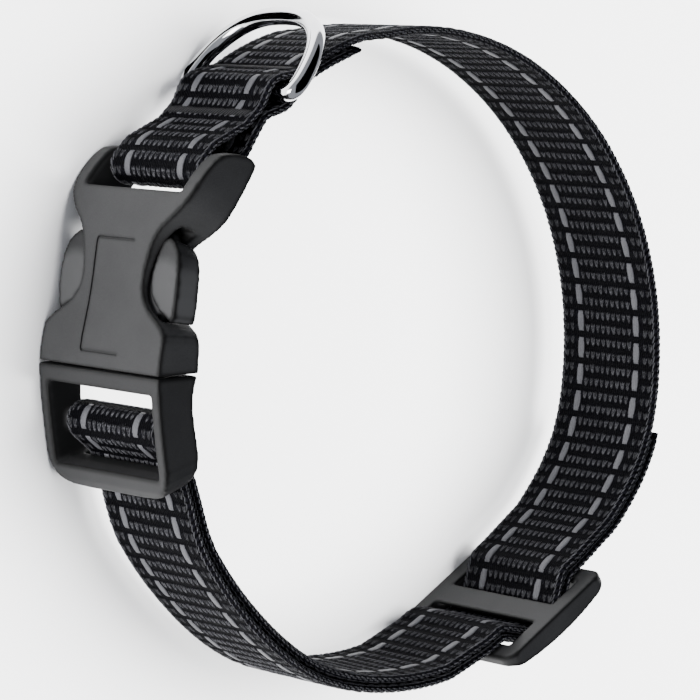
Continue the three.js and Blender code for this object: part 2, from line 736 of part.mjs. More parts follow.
// A turn round a bar, in the flat directions along and lift, bent onto the neck.
function flatArc(along, lift, radius, fromDegrees, toDegrees) {
  const count = Math.ceil(Math.abs(toDegrees - fromDegrees) / ARC_STEP_DEGREES);
  return Array.from({ length: count + 1 }, (_, i) => {
    const angle = THREE.MathUtils.degToRad(mix(fromDegrees, toDegrees, i / count));
    return planPoint(along + radius * Math.cos(angle), lift + radius * Math.sin(angle));
  });
}

// Through the slider: under the upper end bar, over the middle bar, under the lower end bar.
function sliderWeave() {
  const slotEnd = SLIDER_LENGTH / 2 - SLIDER_END_BAR;
  const endRadius = PEG_RADIUS + FIT + STRAP_THICKNESS + LAYER_GAP + STRAP_THICKNESS / 2;
  const midRadius = PEG_RADIUS + FIT + STRAP_THICKNESS / 2;
  const through = (hand) => ({
    at: sliderPoint(hand * SLIDER_LENGTH * SLIDER_MOUTH, PEG_RADIUS - endRadius - TANGENT_SLACK),
    radius: 0,
    hand: 0,
  });
  const endPeg = (hand) => ({
    at: sliderPoint(hand * (slotEnd + PEG_RADIUS), PEG_RADIUS),
    radius: endRadius,
    hand: 1,
  });
  const midPeg = (hand) => ({
    at: sliderPoint(hand * (SLIDER_MID_BAR / 2 - PEG_RADIUS), SLIDER_MID_BAR_THICKNESS - PEG_RADIUS),
    radius: midRadius,
    hand: -1,
  });
  return roundPegs([through(1), endPeg(1), midPeg(1), midPeg(-1), endPeg(-1), through(-1)]);
}

function makeStrap() {
  const weave = sliderWeave();

  // From the slider to the plug, behind its end bar and up behind its strap bar.
  const backLift = END_BAR_LIFT - FIT - LAYER_PITCH - STRAP_THICKNESS / 2;
  const plugRows = [
    { along: PLUG_BAR_AT, lift: PLUG_BAR_LIFT - ROLL_RADIUS },
    { along: WINDOW_END, lift: backLift },
    { along: PLUG_LENGTH, lift: backLift },
    { along: PLUG_LENGTH + PLUG_SETTLE, lift: SINGLE_LIFT },
  ];
  const lead = SLIDER_LENGTH * SLIDER_LEAD;
  const lower = run(SLIDER_AT - lead, WINDOW_END, plugRows);
  const toBar = run(WINDOW_END, PLUG_BAR_AT, plugRows);

  // Round the strap bar, then straight down to the back corner of the end bar and round that.
  const lipRadius = FIT + STRAP_THICKNESS / 2;
  const toLip = new THREE.Vector2(WINDOW_END - PLUG_BAR_AT, END_BAR_LIFT - PLUG_BAR_LIFT);
  const opening = Math.acos((ROLL_RADIUS + lipRadius) / toLip.length());
  const leave = THREE.MathUtils.radToDeg(toLip.angle() + opening);
  const plugRoll = [
    ...flatArc(PLUG_BAR_AT, PLUG_BAR_LIFT, ROLL_RADIUS, -90, leave - 360),
    ...flatArc(WINDOW_END, END_BAR_LIFT, lipRadius, leave + 180, 270),
  ];

  // The tail layer lies outside the first one, from the plug's window to the free end.
  const upper = run(SLIDER_AT + SLIDER_LENGTH / 2 + TAIL_LENGTH, SLIDER_AT + lead, plugRows);
  const firstLayer = thinOut([...upper, ...weave, ...lower]);
  const tail = offsetPath(firstLayer, LAYER_PITCH).reverse();

  const path = thinOut([...socketSide(), ...weave, ...lower, ...toBar, ...plugRoll, ...tail]);
  const left = offsetPath(path, STRAP_THICKNESS / 2);
  const right = offsetPath(path, -STRAP_THICKNESS / 2).reverse();
  const outline = [...right, ...left];
  const wound = THREE.ShapeUtils.isClockWise(outline) ? outline.reverse() : outline;
  const shape = new THREE.Shape(wound);
  const geometry = new THREE.ExtrudeGeometry(shape, { depth: STRAP_WIDTH, bevelEnabled: false });
  geometry.translate(0, 0, -STRAP_WIDTH / 2);
  return makeMesh('webbing_strap', toGeometry(toSolid(geometry)), WEBBING);
}

// The ring's wire follows a bar and a rounded bow, in its own plane: u along the bar, v upwards.
function makeRing() {
  const halfWidth = RING_WIDTH / 2 - RING_WIRE_RADIUS;
  const { normal, tangent } = neck.at(RING_AT);
  const place = planPoint(RING_AT, RING_BAR_LIFT);
  const lean = THREE.MathUtils.degToRad(RING_LEAN);
  const up = new THREE.Vector3()
    .addScaledVector(tangent, -Math.cos(lean))
    .addScaledVector(normal, Math.sin(lean));
  const bow = Array.from({ length: RING_BOW_STEPS + 1 }, (_, i) => {
    const angle = Math.PI * (i / RING_BOW_STEPS);
    const cosine = Math.cos(angle);
    const u = halfWidth * Math.sign(cosine) * Math.abs(cosine) ** RING_ROUNDNESS;
    const v = RING_HEIGHT * Math.sin(angle) ** RING_ROUNDNESS;
    return [u, v];
  });
  const barShares = [-1, -2 / 3, -1 / 3, 0, 1 / 3, 2 / 3, 1];
  const straight = barShares.map((share) => [(halfWidth - RING_CORNER) * share, 0]);
  const bend = RING_CORNER * (1 - Math.SQRT1_2);
  const loop = [
    [halfWidth - bend, bend],
    ...bow.filter(([, v]) => v > RING_CORNER),
    [-halfWidth + bend, bend],
    ...straight,
  ];
  const points = loop.map(([u, v]) => new THREE.Vector3(place.x, place.y, u).addScaledVector(up, v));
  const curve = new THREE.CatmullRomCurve3(points, true, 'centripetal');
  const geometry = new THREE.TubeGeometry(curve, RING_STEPS, RING_WIRE_RADIUS, RING_SIDES, true);
  return makeMesh('d_ring', toGeometry(toSolid(geometry)), STEEL);
}

const collar = new THREE.Group();
const pieces = new THREE.Group();
pieces.add(makeStrap(), makeSocket(), makePlug(), makeSlider(), makeRing());
collar.add(pieces);

// The collar rests on its lower rims, with the middle of its box over the origin.
const box = new THREE.Box3().setFromObject(pieces, true);
pieces.position.set(-(box.min.x + box.max.x) / 2, -(box.min.y + box.max.y) / 2, -box.min.z);

export default collar;
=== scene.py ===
# %% [markdown]
# # A dog training collar
# The real collar is one long piece of 25 mm webbing, a side-release buckle in two moulded halves,
# a flat slider that sets the length, and a welded steel ring for the lead.
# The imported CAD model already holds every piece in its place, so it is loaded first and stays fixed.
# Each piece is then dressed: a finer mesh stands in its place and takes a procedural finish.

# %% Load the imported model
import json
import math

import bmesh
import bpy
import numpy as np
from mathutils import Matrix, Vector
from mathutils.bvhtree import BVHTree


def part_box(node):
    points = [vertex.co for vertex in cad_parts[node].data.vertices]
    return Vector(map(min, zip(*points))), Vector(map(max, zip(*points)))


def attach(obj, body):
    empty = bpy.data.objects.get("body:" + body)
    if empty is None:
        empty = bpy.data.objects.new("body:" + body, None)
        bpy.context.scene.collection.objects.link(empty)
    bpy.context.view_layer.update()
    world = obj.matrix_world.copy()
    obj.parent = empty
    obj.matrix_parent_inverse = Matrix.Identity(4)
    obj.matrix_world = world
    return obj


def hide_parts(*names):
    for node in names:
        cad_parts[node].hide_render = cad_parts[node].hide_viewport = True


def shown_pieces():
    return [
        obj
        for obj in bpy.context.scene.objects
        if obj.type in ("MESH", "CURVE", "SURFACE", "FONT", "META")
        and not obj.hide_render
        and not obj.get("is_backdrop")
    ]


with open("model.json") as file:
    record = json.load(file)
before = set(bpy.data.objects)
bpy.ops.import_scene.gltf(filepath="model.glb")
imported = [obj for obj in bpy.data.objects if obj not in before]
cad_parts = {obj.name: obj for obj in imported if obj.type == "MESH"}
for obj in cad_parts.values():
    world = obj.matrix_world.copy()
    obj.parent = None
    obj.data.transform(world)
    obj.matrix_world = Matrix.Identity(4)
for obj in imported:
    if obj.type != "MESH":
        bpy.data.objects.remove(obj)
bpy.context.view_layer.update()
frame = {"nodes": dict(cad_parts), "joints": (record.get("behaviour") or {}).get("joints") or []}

MM = 0.001
nodes = frame["nodes"]
print("CAD nodes:", sorted(nodes))

# %% [markdown]
# ## The neck line
# Everything on the collar follows one closed curve, the inner face of the strap.
# It is a smooth curve through sixteen places round the neck, at equal angles from the buckle's seam.
# A place on the collar is `along` that curve, `lift` outwards from it and `across` the width.
# The ring's hinge is a known place in both frames, so it gives where the curve's centre lies.

# %% The neck line as dense samples
NECK_RADIUS = 53 * MM
NECK_REACH = [1.000, 0.992, 1.006, 1.042, 1.029, 1.004, 0.995, 1.028,
              1.002, 0.986, 0.985, 0.992, 0.998, 0.994, 0.990, 1.000]
NECK_SAMPLES = 400
RING_AT = -50.8 * MM
RING_BAR_LIFT = 0.9 * MM


def unit(rows):
    """Each row of an array at length 1."""
    return rows / np.linalg.norm(rows, axis=1)[:, None]


def rounded_loop(corners):
    """A smooth closed curve through the corners, its parts sized by the gaps between them."""
    parts = []
    share = np.linspace(0, 1, NECK_SAMPLES, endpoint=False)[:, None]
    for i in range(len(corners)):
        p0, p1, p2, p3 = (corners[(i + k) % len(corners)] for k in (-1, 0, 1, 2))
        gaps = [math.sqrt(np.linalg.norm(b - a)) for a, b in ((p0, p1), (p1, p2), (p2, p3))]
        leave = (p1 - p0) / gaps[0] - (p2 - p0) / (gaps[0] + gaps[1]) + (p2 - p1) / gaps[1]
        arrive = (p2 - p1) / gaps[1] - (p3 - p1) / (gaps[1] + gaps[2]) + (p3 - p2) / gaps[2]
        leave, arrive = leave * gaps[1], arrive * gaps[1]
        parts.append(p1 + leave * share
                     + (3 * (p2 - p1) - 2 * leave - arrive) * share ** 2
                     + (2 * (p1 - p2) + leave + arrive) * share ** 3)
    return np.concatenate(parts)


angles = math.pi + np.arange(len(NECK_REACH)) * 2 * math.pi / len(NECK_REACH)
neck_corners = NECK_RADIUS * np.array(NECK_REACH)[:, None] * np.stack([np.cos(angles), np.sin(angles)], 1)
neck_points = rounded_loop(neck_corners)
neck_ahead = unit(np.roll(neck_points, -1, 0) - np.roll(neck_points, 1, 0))
neck_out = np.stack([neck_ahead[:, 1], -neck_ahead[:, 0]], 1)
neck_steps = np.linalg.norm(np.roll(neck_points, -1, 0) - neck_points, axis=1)
neck_length = neck_steps.sum()
neck_along = np.concatenate([[0], np.cumsum(neck_steps)[:-1]])


def off_line(along, lift, line_along, line, normals, period=None):
    """Points at places along a line of the plan, lifted off it along its normals."""
    x, y, way_x, way_y = (np.interp(along, line_along, column, period=period)
                          for column in (*line.T, *normals.T))
    return np.stack([x + way_x * lift, y + way_y * lift], -1)


def neck_place(along, lift):
    """Points of the plan at `along` and `lift` over the neck line, about its own centre."""
    along = np.asarray(along, float) % neck_length
    return off_line(along, lift, neck_along, neck_points, neck_out, neck_length)


hinge = np.array(frame["joints"][0]["pos_m"])
neck_centre = hinge[:2] - neck_place(RING_AT, RING_BAR_LIFT)
MIDDLE = hinge[2]
print("neck line in mm:", round(neck_length / MM, 1), "centre:", (neck_centre / MM).round(2))

# %% [markdown]
# ## The camera
# The photograph looks down steeply on the collar's near rim from the buckle's side, with a long lens.
# A camera far off with a narrow lens gives the same small change of size from near to far.
# Its numbers come from fitting the strap's edges, 25 mm apart, to the same edges in the photograph.

# %% Camera at the photograph's angle
LOOK_FROM = Vector((-0.62595, 0.10332, 0.77299))
PICTURE_UP = Vector((0.06502, 0.99465, -0.08029))
CAMERA_DISTANCE = 645.6 * MM
CAMERA_LENS = 192.2
AIM_RIGHT = 2.81 * MM
AIM_UP = -1.92 * MM
STRAP_LOW = 4.0 * MM


def new_object(name, data):
    thing = bpy.data.objects.new(name, data)
    bpy.context.collection.objects.link(thing)
    return thing


def place_camera():
    """Stands the camera on its line of sight and turns it so that the picture's top is PICTURE_UP."""
    right = PICTURE_UP.cross(LOOK_FROM).normalized()
    origin = Vector((*neck_centre, STRAP_LOW))
    spot = origin + LOOK_FROM * CAMERA_DISTANCE
    aim = origin + right * AIM_RIGHT + PICTURE_UP * AIM_UP
    back = (spot - aim).normalized()
    side = PICTURE_UP.cross(back).normalized()
    above = back.cross(side)
    lens = bpy.data.cameras.new("photo_camera")
    lens.lens = CAMERA_LENS
    camera = new_object("photo_camera", lens)
    camera.matrix_world = Matrix((side, above, back)).transposed().to_4x4()
    camera.location = spot
    bpy.context.scene.camera = camera
    return camera


camera = place_camera()
print("camera at mm:", [round(v / MM) for v in camera.location])

# %% [markdown]
# ## Helpers for node trees
# Every finish below is a formula of the place on the surface, with no image. A small class turns
# sums into Math nodes, so that a pattern can be read as one line and changed in one place.

# %% Helpers for node trees


def set_inputs(tree, node, **sockets):
    """Each named input takes a constant or a link, and a name such as i0 is an input's number.

    A node given as a value stands for its first output.
    """
    for name, value in sockets.items():
        key = int(name[1:]) if name[0] == "i" and name[1:].isdigit() else name.replace("_", " ")
        if isinstance(value, bpy.types.Node):
            value = value.outputs[0]
        value = getattr(value, "socket", value)
        if isinstance(value, bpy.types.NodeSocket):
            tree.links.new(value, node.inputs[key])
        else:
            node.inputs[key].default_value = value


def add_node(tree, kind, settings=None, **sockets):
    """Adds a node, with its settings set before its inputs."""
    node = tree.nodes.new(kind)
    for name, value in (settings or {}).items():
        setattr(node, name, value)
    set_inputs(tree, node, **sockets)
    return node


class Value:
    """A number in a tree. Sums on it add Math nodes, so a pattern reads like a formula."""

    def __init__(self, tree, socket):
        self.tree = tree
        self.socket = socket

    def math(self, operation, *others):
        sockets = {f"i{k}": value for k, value in enumerate([self, *others])}
        node = add_node(self.tree, "ShaderNodeMath", {"operation": operation}, **sockets)
        return Value(self.tree, node.outputs[0])

    def __add__(self, other):
        return self.math("ADD", other)

    __radd__ = __add__

    def __sub__(self, other):
        return self.math("SUBTRACT", other)

    def __rsub__(self, other):
        return self * -1 + other

    def __mul__(self, other):
        return self.math("MULTIPLY", other)

    __rmul__ = __mul__

    def wave(self, pitch):
        """A smooth ripple from -1 to 1 that repeats at each pitch."""
        return (self * (2 * math.pi / pitch)).math("SINE")

    def ripple(self, pitch):
        """The same ripple from 0 to 1."""
        return self.wave(pitch) * 0.5 + 0.5

    def step(self, low, high):
        """Rises from 0 to 1 between low and high."""
        node = add_node(self.tree, "ShaderNodeMapRange", {"interpolation_type": "SMOOTHSTEP"},
                        Value=self, From_Min=low, From_Max=high)
        return Value(self.tree, node.outputs["Result"])


def new_finish(name):
    """An empty material with its shader, ready for a pattern."""
    material = bpy.data.materials.new(name)
    material.use_nodes = True
    tree = material.node_tree
    tree.nodes.clear()
    shader = add_node(tree, "ShaderNodeBsdfPrincipled")
    add_node(tree, "ShaderNodeOutputMaterial", Surface=shader)
    return material, tree, shader


def mix_colours(tree, share, dark, light):
    """A colour between dark and light. Each of them is three numbers or a link."""
    ends = [(*end, 1) if isinstance(end, tuple) else end for end in (dark, light)]
    node = add_node(tree, "ShaderNodeMix", {"data_type": "RGBA"}, Factor=share, i6=ends[0], i7=ends[1])
    return node.outputs[2]


def bump(tree, height, depth):
    """A Bump node whose height runs from 0 to 1 over a depth in metres."""
    return add_node(tree, "ShaderNodeBump", Height=height, Strength=1.0, Distance=depth)


def grain(tree, size, detail=2.0):
    """Cloudy noise with grains of a size in metres."""
    place = add_node(tree, "ShaderNodeTexCoord")
    node = add_node(tree, "ShaderNodeTexNoise", Vector=place.outputs["Object"], Scale=1 / size,
                    Detail=detail)
    return Value(tree, node.outputs[0])


print("helpers ready")

# %% [markdown]
# ## Floor, lamps and dark cards
# The photograph is lit as goods are: a white ground, a softly lit subject, and black card beside the
# polished ring. One lamp hangs overhead and lights the floor only. One stands low on the buckle's
# side and lights the collar only, because the real buckle's front is paler than its sides.
# Two black cards that only mirror rays meet draw the dark bands on the ring. The floor throws no
# light back at the collar, since the undersides in the photograph are dark.

# %% Floor, lamps and dark cards
FLOOR_SIZE = 3.0
FLOOR_COLOUR = (0.92, 0.92, 0.92)
FLOOR_ROUGHNESS = 0.9
CARD_COLOUR = (0.002, 0.002, 0.002)
CARD_ROUGHNESS = 1.0
RING_SPOT = (-0.035, 0.055, 0.017)
SKY_COLOUR = (0.9, 0.93, 1.0)
SKY_STRENGTH = 0.54


def mesh_piece(name, points, faces):
    """A new object at the origin with its place in its mesh."""
    mesh = bpy.data.meshes.new(name)
    mesh.from_pydata([tuple(p) for p in points], [], [tuple(f) for f in faces])
    mesh.update()
    mesh.shade_smooth()
    return new_object(name, mesh)


def plain_sheet(name, spot, facing, size, colour, roughness):
    """A flat matt square that throws no light on other things."""
    half = size / 2
    turn = Vector(facing).to_track_quat("Z", "Y")
    corners = [Vector(spot) + turn @ Vector((x * half, y * half, 0))
               for x, y in ((-1, -1), (1, -1), (1, 1), (-1, 1))]
    sheet = mesh_piece(name, corners, [(0, 1, 2, 3)])
    material, tree, shader = new_finish(name)
    set_inputs(tree, shader, Base_Color=(*colour, 1), Roughness=roughness, Specular_IOR_Level=0.0)
    sheet.data.materials.append(material)
    sheet.visible_diffuse = False
    return sheet


def dark_card(name, spot, aim, size):
    """A black card that only reflections see."""
    card = plain_sheet(name, spot, Vector(aim) - Vector(spot), size, CARD_COLOUR, CARD_ROUGHNESS)
    card.visible_camera = False
    card.visible_shadow = False
    card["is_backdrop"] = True


def make_lamp(name, spot, aim, size, power):
    """A square soft lamp that stands at a spot and faces a point."""
    light = bpy.data.lights.new(name, "AREA")
    light.size = size
    light.energy = power
    lamp = new_object(name, light)
    lamp.location = spot
    lamp.rotation_mode = "QUATERNION"
    lamp.rotation_quaternion = (Vector(aim) - Vector(spot)).to_track_quat("-Z", "Y")
    return lamp


def light_only(lamp, *receivers):
    """Limits a lamp to some objects, as a shade or a snoot does in a studio."""
    group = bpy.data.collections.new(lamp.name + "_lights")
    for receiver in receivers:
        group.objects.link(receiver)
    lamp.light_linking.receiver_collection = group


floor = plain_sheet("floor", (0, 0, 0), (0, 0, 1), FLOOR_SIZE, FLOOR_COLOUR, FLOOR_ROUGHNESS)
floor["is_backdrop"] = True
overhead = make_lamp("overhead_lamp", spot=(0.30, 0.02, 0.85), aim=(0.02, 0, 0), size=0.95, power=62.0)
front_lamp = make_lamp("front_lamp", spot=(-0.80, -0.05, 0.16), aim=(-0.02, 0, 0.02), size=0.40,
                       power=7.6)
dark_card("dark_card_high", spot=(0.08, 0.10, 0.42), aim=RING_SPOT, size=0.95)
dark_card("dark_card_floor", spot=(-0.042, 0.062, 0.001), aim=(-0.042, 0.062, 0.1), size=0.030)
world = bpy.data.worlds.new("studio")
bpy.context.scene.world = world
world.use_nodes = True
sky = world.node_tree.nodes["Background"]
set_inputs(world.node_tree, sky, Color=(*SKY_COLOUR, 1), Strength=SKY_STRENGTH)
print("lamps:", overhead.name, front_lamp.name)

# %% [markdown]
# ## The strap's path
# The strap is one piece: it starts folded under the ring, turns round the socket's bar, runs round
# the neck, through the slider, round the plug's bar and back out to its free tail.
# The CAD strap is that path with a thickness, so its outline in plan holds two faces side by side.
# Halfway between the two faces is the path itself, which is read off here and made smooth.

# %% Read the path off the CAD strap
PATH_STEP = 0.1 * MM
PATH_BLUR = 4
TOP_TOLERANCE = 0.01 * MM


def plan_outline(node):
    """The corners of a node's top face, in order round its rim."""
    mesh = node.data
    mesh.calc_loop_triangles()
    corners = np.array([v.co for v in mesh.vertices])
    triangles = np.array([t.vertices for t in mesh.loop_triangles])
    top = corners[:, 2].max()
    on_top = (corners[triangles][:, :, 2] > top - TOP_TOLERANCE).all(axis=1)
    places, index = np.unique(np.round(corners[:, :2] / MM, 3), axis=0, return_inverse=True)
    index = index.ravel()
    edges = set()
    for a, b, c in index[triangles[on_top]]:
        edges.update([(a, b), (b, c), (c, a)])
    following = {a: b for a, b in edges if (b, a) not in edges}
    loop = [next(iter(following))]
    while following[loop[-1]] != loop[0]:
        loop.append(following[loop[-1]])
    return places[loop] * MM


def middle_path(outline):
    """Pairs the two faces of a ribbon's outline and returns the points halfway between them."""
    half = len(outline) // 2

    def two_faces(start):
        turned = np.roll(outline, -start, 0)
        return turned[:half], turned[half:][::-1]

    def misfit(start):
        ahead, behind = two_faces(start)
        return np.linalg.norm(ahead - behind, axis=1).max(), -ahead[0][1]

    ahead, behind = two_faces(min(range(len(outline)), key=misfit))
    path = (ahead + behind) / 2
    return (path if path[0][1] > path[-1][1] else path[::-1]), np.linalg.norm(ahead[0] - behind[0])


def soft_window(reach):
    """Shares for an average over a point and its neighbours up to a reach. They add up to 1."""
    shares = np.hanning(2 * reach + 3)[1:-1]
    return shares / shares.sum()


def spaced(points, step):
    """The same line with points at equal steps."""
    gone = np.concatenate([[0], np.cumsum(np.linalg.norm(np.diff(points, axis=0), axis=1))])
    at = np.arange(0, gone[-1], step)
    return np.stack([np.interp(at, gone, column) for column in points.T], 1)


raw_path, strap_thickness = middle_path(plan_outline(nodes["webbing_strap"]))
fine_path = spaced(raw_path, PATH_STEP)
window = soft_window(PATH_BLUR)
padded_path = np.pad(fine_path, ((PATH_BLUR, PATH_BLUR), (0, 0)), "edge")
path = np.stack([np.convolve(column, window, "valid") for column in padded_path.T], 1)
path_ahead = unit(np.gradient(path, axis=0))
path_left = np.stack([-path_ahead[:, 1], path_ahead[:, 0]], 1)
path_along = np.concatenate([[0], np.cumsum(np.linalg.norm(np.diff(path, axis=0), axis=1))])
strap_length = path_along[-1]
strap_low, strap_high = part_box("webbing_strap")
strap_width = strap_high.z - strap_low.z
print("strap in mm:", round(strap_length / MM, 1), "x", round(strap_width / MM, 1),
      "x", round(strap_thickness / MM, 2))


def wrap(flat):
    """Lays flat points (along, across, height) on the strap's path. Height is to the path's left."""
    plan = off_line(flat[:, 0], flat[:, 2], path_along, path, path_left)
    return np.column_stack([plan, MIDDLE + flat[:, 1]])


# %% [markdown]
# ## The webbing
# Close up, the webbing is a ribbed weave: cross ribs 2.45 mm apart, each with a row of grey thread
# marks, between two rounded selvedges. A flat strip with many columns is raised into ribs first and
# then laid on the path, so the ribs are real relief that also shows at the rims.

# %% Weave a flat strip and lay it on the path
RIB_PITCH = 2.45 * MM
STRIP_STEP = 0.41 * MM
STRIP_COLUMNS = 30
EDGE_CROWDING = 0.35
CLOTH_HALF = 0.50 * MM
RIB_RISE = 0.19 * MM
RIB_FADE = 0.8 * MM
SELVEDGE_AT = 11.3 * MM
SELVEDGE_FADE = 0.9 * MM
SELVEDGE_ROUND = 0.35


def strip_height(along, across):
    """Height of the cloth's face over its middle: ribs, fading at two smooth selvedges."""
    rib = 0.5 + 0.5 * np.cos(2 * math.pi * along / RIB_PITCH)
    inside = np.clip((SELVEDGE_AT - np.abs(across)) / RIB_FADE, 0, 1)
    edge = np.clip((strap_width / 2 - np.abs(across)) / SELVEDGE_FADE, 0, 1)
    return (CLOTH_HALF + RIB_RISE * rib * inside) * edge ** SELVEDGE_ROUND


def tube_faces(rows, around, closed=False):
    """The four-sided faces between rows of points, where each row goes round a tube."""
    faces = []
    for row in range(rows if closed else rows - 1):
        near, far = row * around, (row + 1) % rows * around
        for a in range(around):
            b = (a + 1) % around
            faces.append((near + a, near + b, far + b, far + a))
    return faces


def weave_strip():
    """A flat ribbon of rows that go round its section, with more columns near the two edges."""
    rows = int(strap_length / STRIP_STEP)
    along = np.linspace(0, strap_length, rows + 1)
    crowded = -np.cos(np.linspace(0, math.pi, STRIP_COLUMNS + 1)) * strap_width / 2
    even = np.linspace(-strap_width / 2, strap_width / 2, STRIP_COLUMNS + 1)
    across = EDGE_CROWDING * crowded + (1 - EDGE_CROWDING) * even
    ring_across = np.concatenate([across, across[-2:0:-1]])
    side = np.concatenate([np.ones(STRIP_COLUMNS + 1), -np.ones(STRIP_COLUMNS - 1)])
    grid_along, grid_across = np.meshgrid(along, ring_across, indexing="ij")
    height = strip_height(grid_along, grid_across) * side
    flat = np.stack([grid_along, grid_across, height], -1).reshape(-1, 3)
    around = len(ring_across)
    ends = [range(around - 1, -1, -1), range(rows * around, (rows + 1) * around)]
    return flat, tube_faces(rows + 1, around) + ends


def read_values(items, key, width, kind=float):
    """One property of all of a mesh's points, edges or corners, as the rows of an array."""
    values = np.zeros(len(items) * width, kind)
    items.foreach_get(key, values)
    return values.reshape(-1, width)


def keep_flat_place(piece, flat):
    """Stores along and across in millimetres as the UV map that the weave's finish follows."""
    layer = piece.data.uv_layers.new(name="weave")
    corner = read_values(piece.data.loops, "vertex_index", 1, int).ravel()
    layer.data.foreach_set("uv", (flat[corner][:, :2] / MM).astype(np.float32).ravel())


flat_strip, strip_faces = weave_strip()
webbing = mesh_piece("webbing", wrap(flat_strip), strip_faces)
keep_flat_place(webbing, flat_strip)
print("webbing faces:", len(strip_faces))

# %% [markdown]
# ## One tree of nodes for each thing that repeats
# Thousands of like marks are a task for Geometry Nodes. Each tree is made flat, turned into a plain
# mesh, and then laid on the path like the cloth. The first scatters a small V of three spindles over
# a grid, leaves out those that would meet the two dashed lines, and varies each a little.

# %% Parts that the trees share


def new_tree(name, **inputs):
    """A Geometry Nodes tree with one mesh output and named inputs, each given with its kind."""
    tree = bpy.data.node_groups.new(name, "GeometryNodeTree")
    face = tree.interface
    face.new_socket("Geometry", in_out="INPUT", socket_type="NodeSocketGeometry")
    for label, kind in inputs.items():
        face.new_socket(label.replace("_", " "), in_out="INPUT", socket_type="NodeSocket" + kind)
    face.new_socket("Geometry", in_out="OUTPUT", socket_type="NodeSocketGeometry")
    return tree, tree.nodes.new("NodeGroupInput").outputs


def finish_tree(tree, shape, finish):
    """Realize Instances and Set Material close a tree, because the export drops instances."""
    real = add_node(tree, "GeometryNodeRealizeInstances", Geometry=shape)
    painted = add_node(tree, "GeometryNodeSetMaterial", Geometry=real, Material=finish)
    add_node(tree, "NodeGroupOutput", Geometry=painted)
    return tree


def moved(tree, shape, **change):
    return add_node(tree, "GeometryNodeTransform", Geometry=shape, **change)


def joined(tree, *shapes):
    join = tree.nodes.new("GeometryNodeJoinGeometry")
    for shape in shapes:
        tree.links.new(shape.outputs[0], join.inputs[0])
    return join


def scaled(tree, vector, scale):
    return add_node(tree, "ShaderNodeVectorMath", {"operation": "SCALE"}, i0=vector, Scale=scale)


def position(tree, axis):
    """One coordinate of a shape's points."""
    place = tree.nodes.new("GeometryNodeInputPosition")
    return Value(tree, add_node(tree, "ShaderNodeSeparateXYZ", Vector=place).outputs[axis])


def random_vector(tree, least, most, seed):
    return add_node(tree, "FunctionNodeRandomValue", {"data_type": "FLOAT_VECTOR"}, i0=least, i1=most,
                    Seed=seed)


def spindle(tree, size, segments, rings):
    """A ball laid on its side and drawn out to a size, which reads as a plump bit of yarn."""
    ball = add_node(tree, "GeometryNodeMeshUVSphere", Segments=segments, Rings=rings, Radius=0.5)
    return moved(tree, moved(tree, ball, Rotation=(0, math.pi / 2, 0)), Scale=size)


print("shared parts of the trees ready")

# %% The tree of the V marks
LINE_ACROSS = 7.15 * MM
MARK_PITCH = 1.35 * MM
MARK_SIZE = (1.75 * MM, 0.31 * MM, 0.26 * MM)
MARK_LEAN = math.radians(12)
MARK_SPREAD = 0.20
MARK_REACH = 11.2 * MM
MARK_CLEAR = 1.05 * MM
MARK_TURN = 0.14
MARK_LEAST = (0.78, 0.85, 0.75)
MARK_MOST = (1.12, 1.15, 1.1)
MARK_SEED = 7
MARK_CUTS = (4, 3)


def mark_tree():
    tree, given = new_tree("thread_marks", Rows="Int", Columns="Int", Strip_Length="Float",
                           Strip_Width="Float", Mark_Size="Vector", Lean="Vector", Offset="Vector",
                           Line="Float", Clear="Float", Seed="Int", Finish="Material")
    grid = add_node(tree, "GeometryNodeMeshGrid", Size_X=given["Strip Length"],
                    Size_Y=given["Strip Width"], Vertices_X=given["Rows"], Vertices_Y=given["Columns"])
    from_line = position(tree, "Y").math("ABSOLUTE") - given["Line"]
    free = add_node(tree, "FunctionNodeCompare", {"operation": "GREATER_THAN"},
                    i0=from_line.math("ABSOLUTE"), i1=given["Clear"])
    middle = spindle(tree, given["Mark Size"], *MARK_CUTS)
    one_arm = moved(tree, middle, Translation=given["Offset"], Rotation=given["Lean"])
    other_arm = moved(tree, middle, Translation=scaled(tree, given["Offset"], -1.0),
                      Rotation=scaled(tree, given["Lean"], -1.0))
    mark = joined(tree, other_arm, one_arm, middle)
    size = random_vector(tree, MARK_LEAST, MARK_MOST, given["Seed"])
    turn = random_vector(tree, (0, 0, -MARK_TURN), (0, 0, MARK_TURN), given["Seed"])
    marks = add_node(tree, "GeometryNodeInstanceOnPoints", Points=grid, Selection=free, Instance=mark,
                     Rotation=turn, Scale=size)
    return finish_tree(tree, marks, given["Finish"])


v_marks = mark_tree()
print("nodes in the tree of the V marks:", len(v_marks.nodes))

# %% Run a tree and lay its mesh on the strap


def plain_mesh(thing):
    """What an object's modifiers make of it, as a mesh of its own."""
    graph = bpy.context.evaluated_depsgraph_get()
    return bpy.data.meshes.new_from_object(thing.evaluated_get(graph), depsgraph=graph)


def run_tree(tree, name, **values):
    """Runs a tree on an empty object, keeps what it makes as a plain mesh and drops the modifier."""
    holder = new_object(name + "_holder", bpy.data.meshes.new(name + "_holder"))
    modifier = holder.modifiers.new(name, "NODES")
    modifier.node_group = tree
    for item in tree.interface.items_tree:
        key = item.name.replace(" ", "_")
        if item.in_out == "INPUT" and key in values:
            modifier[item.identifier] = values[key]
    mesh = plain_mesh(holder)
    bpy.data.objects.remove(holder)
    return mesh


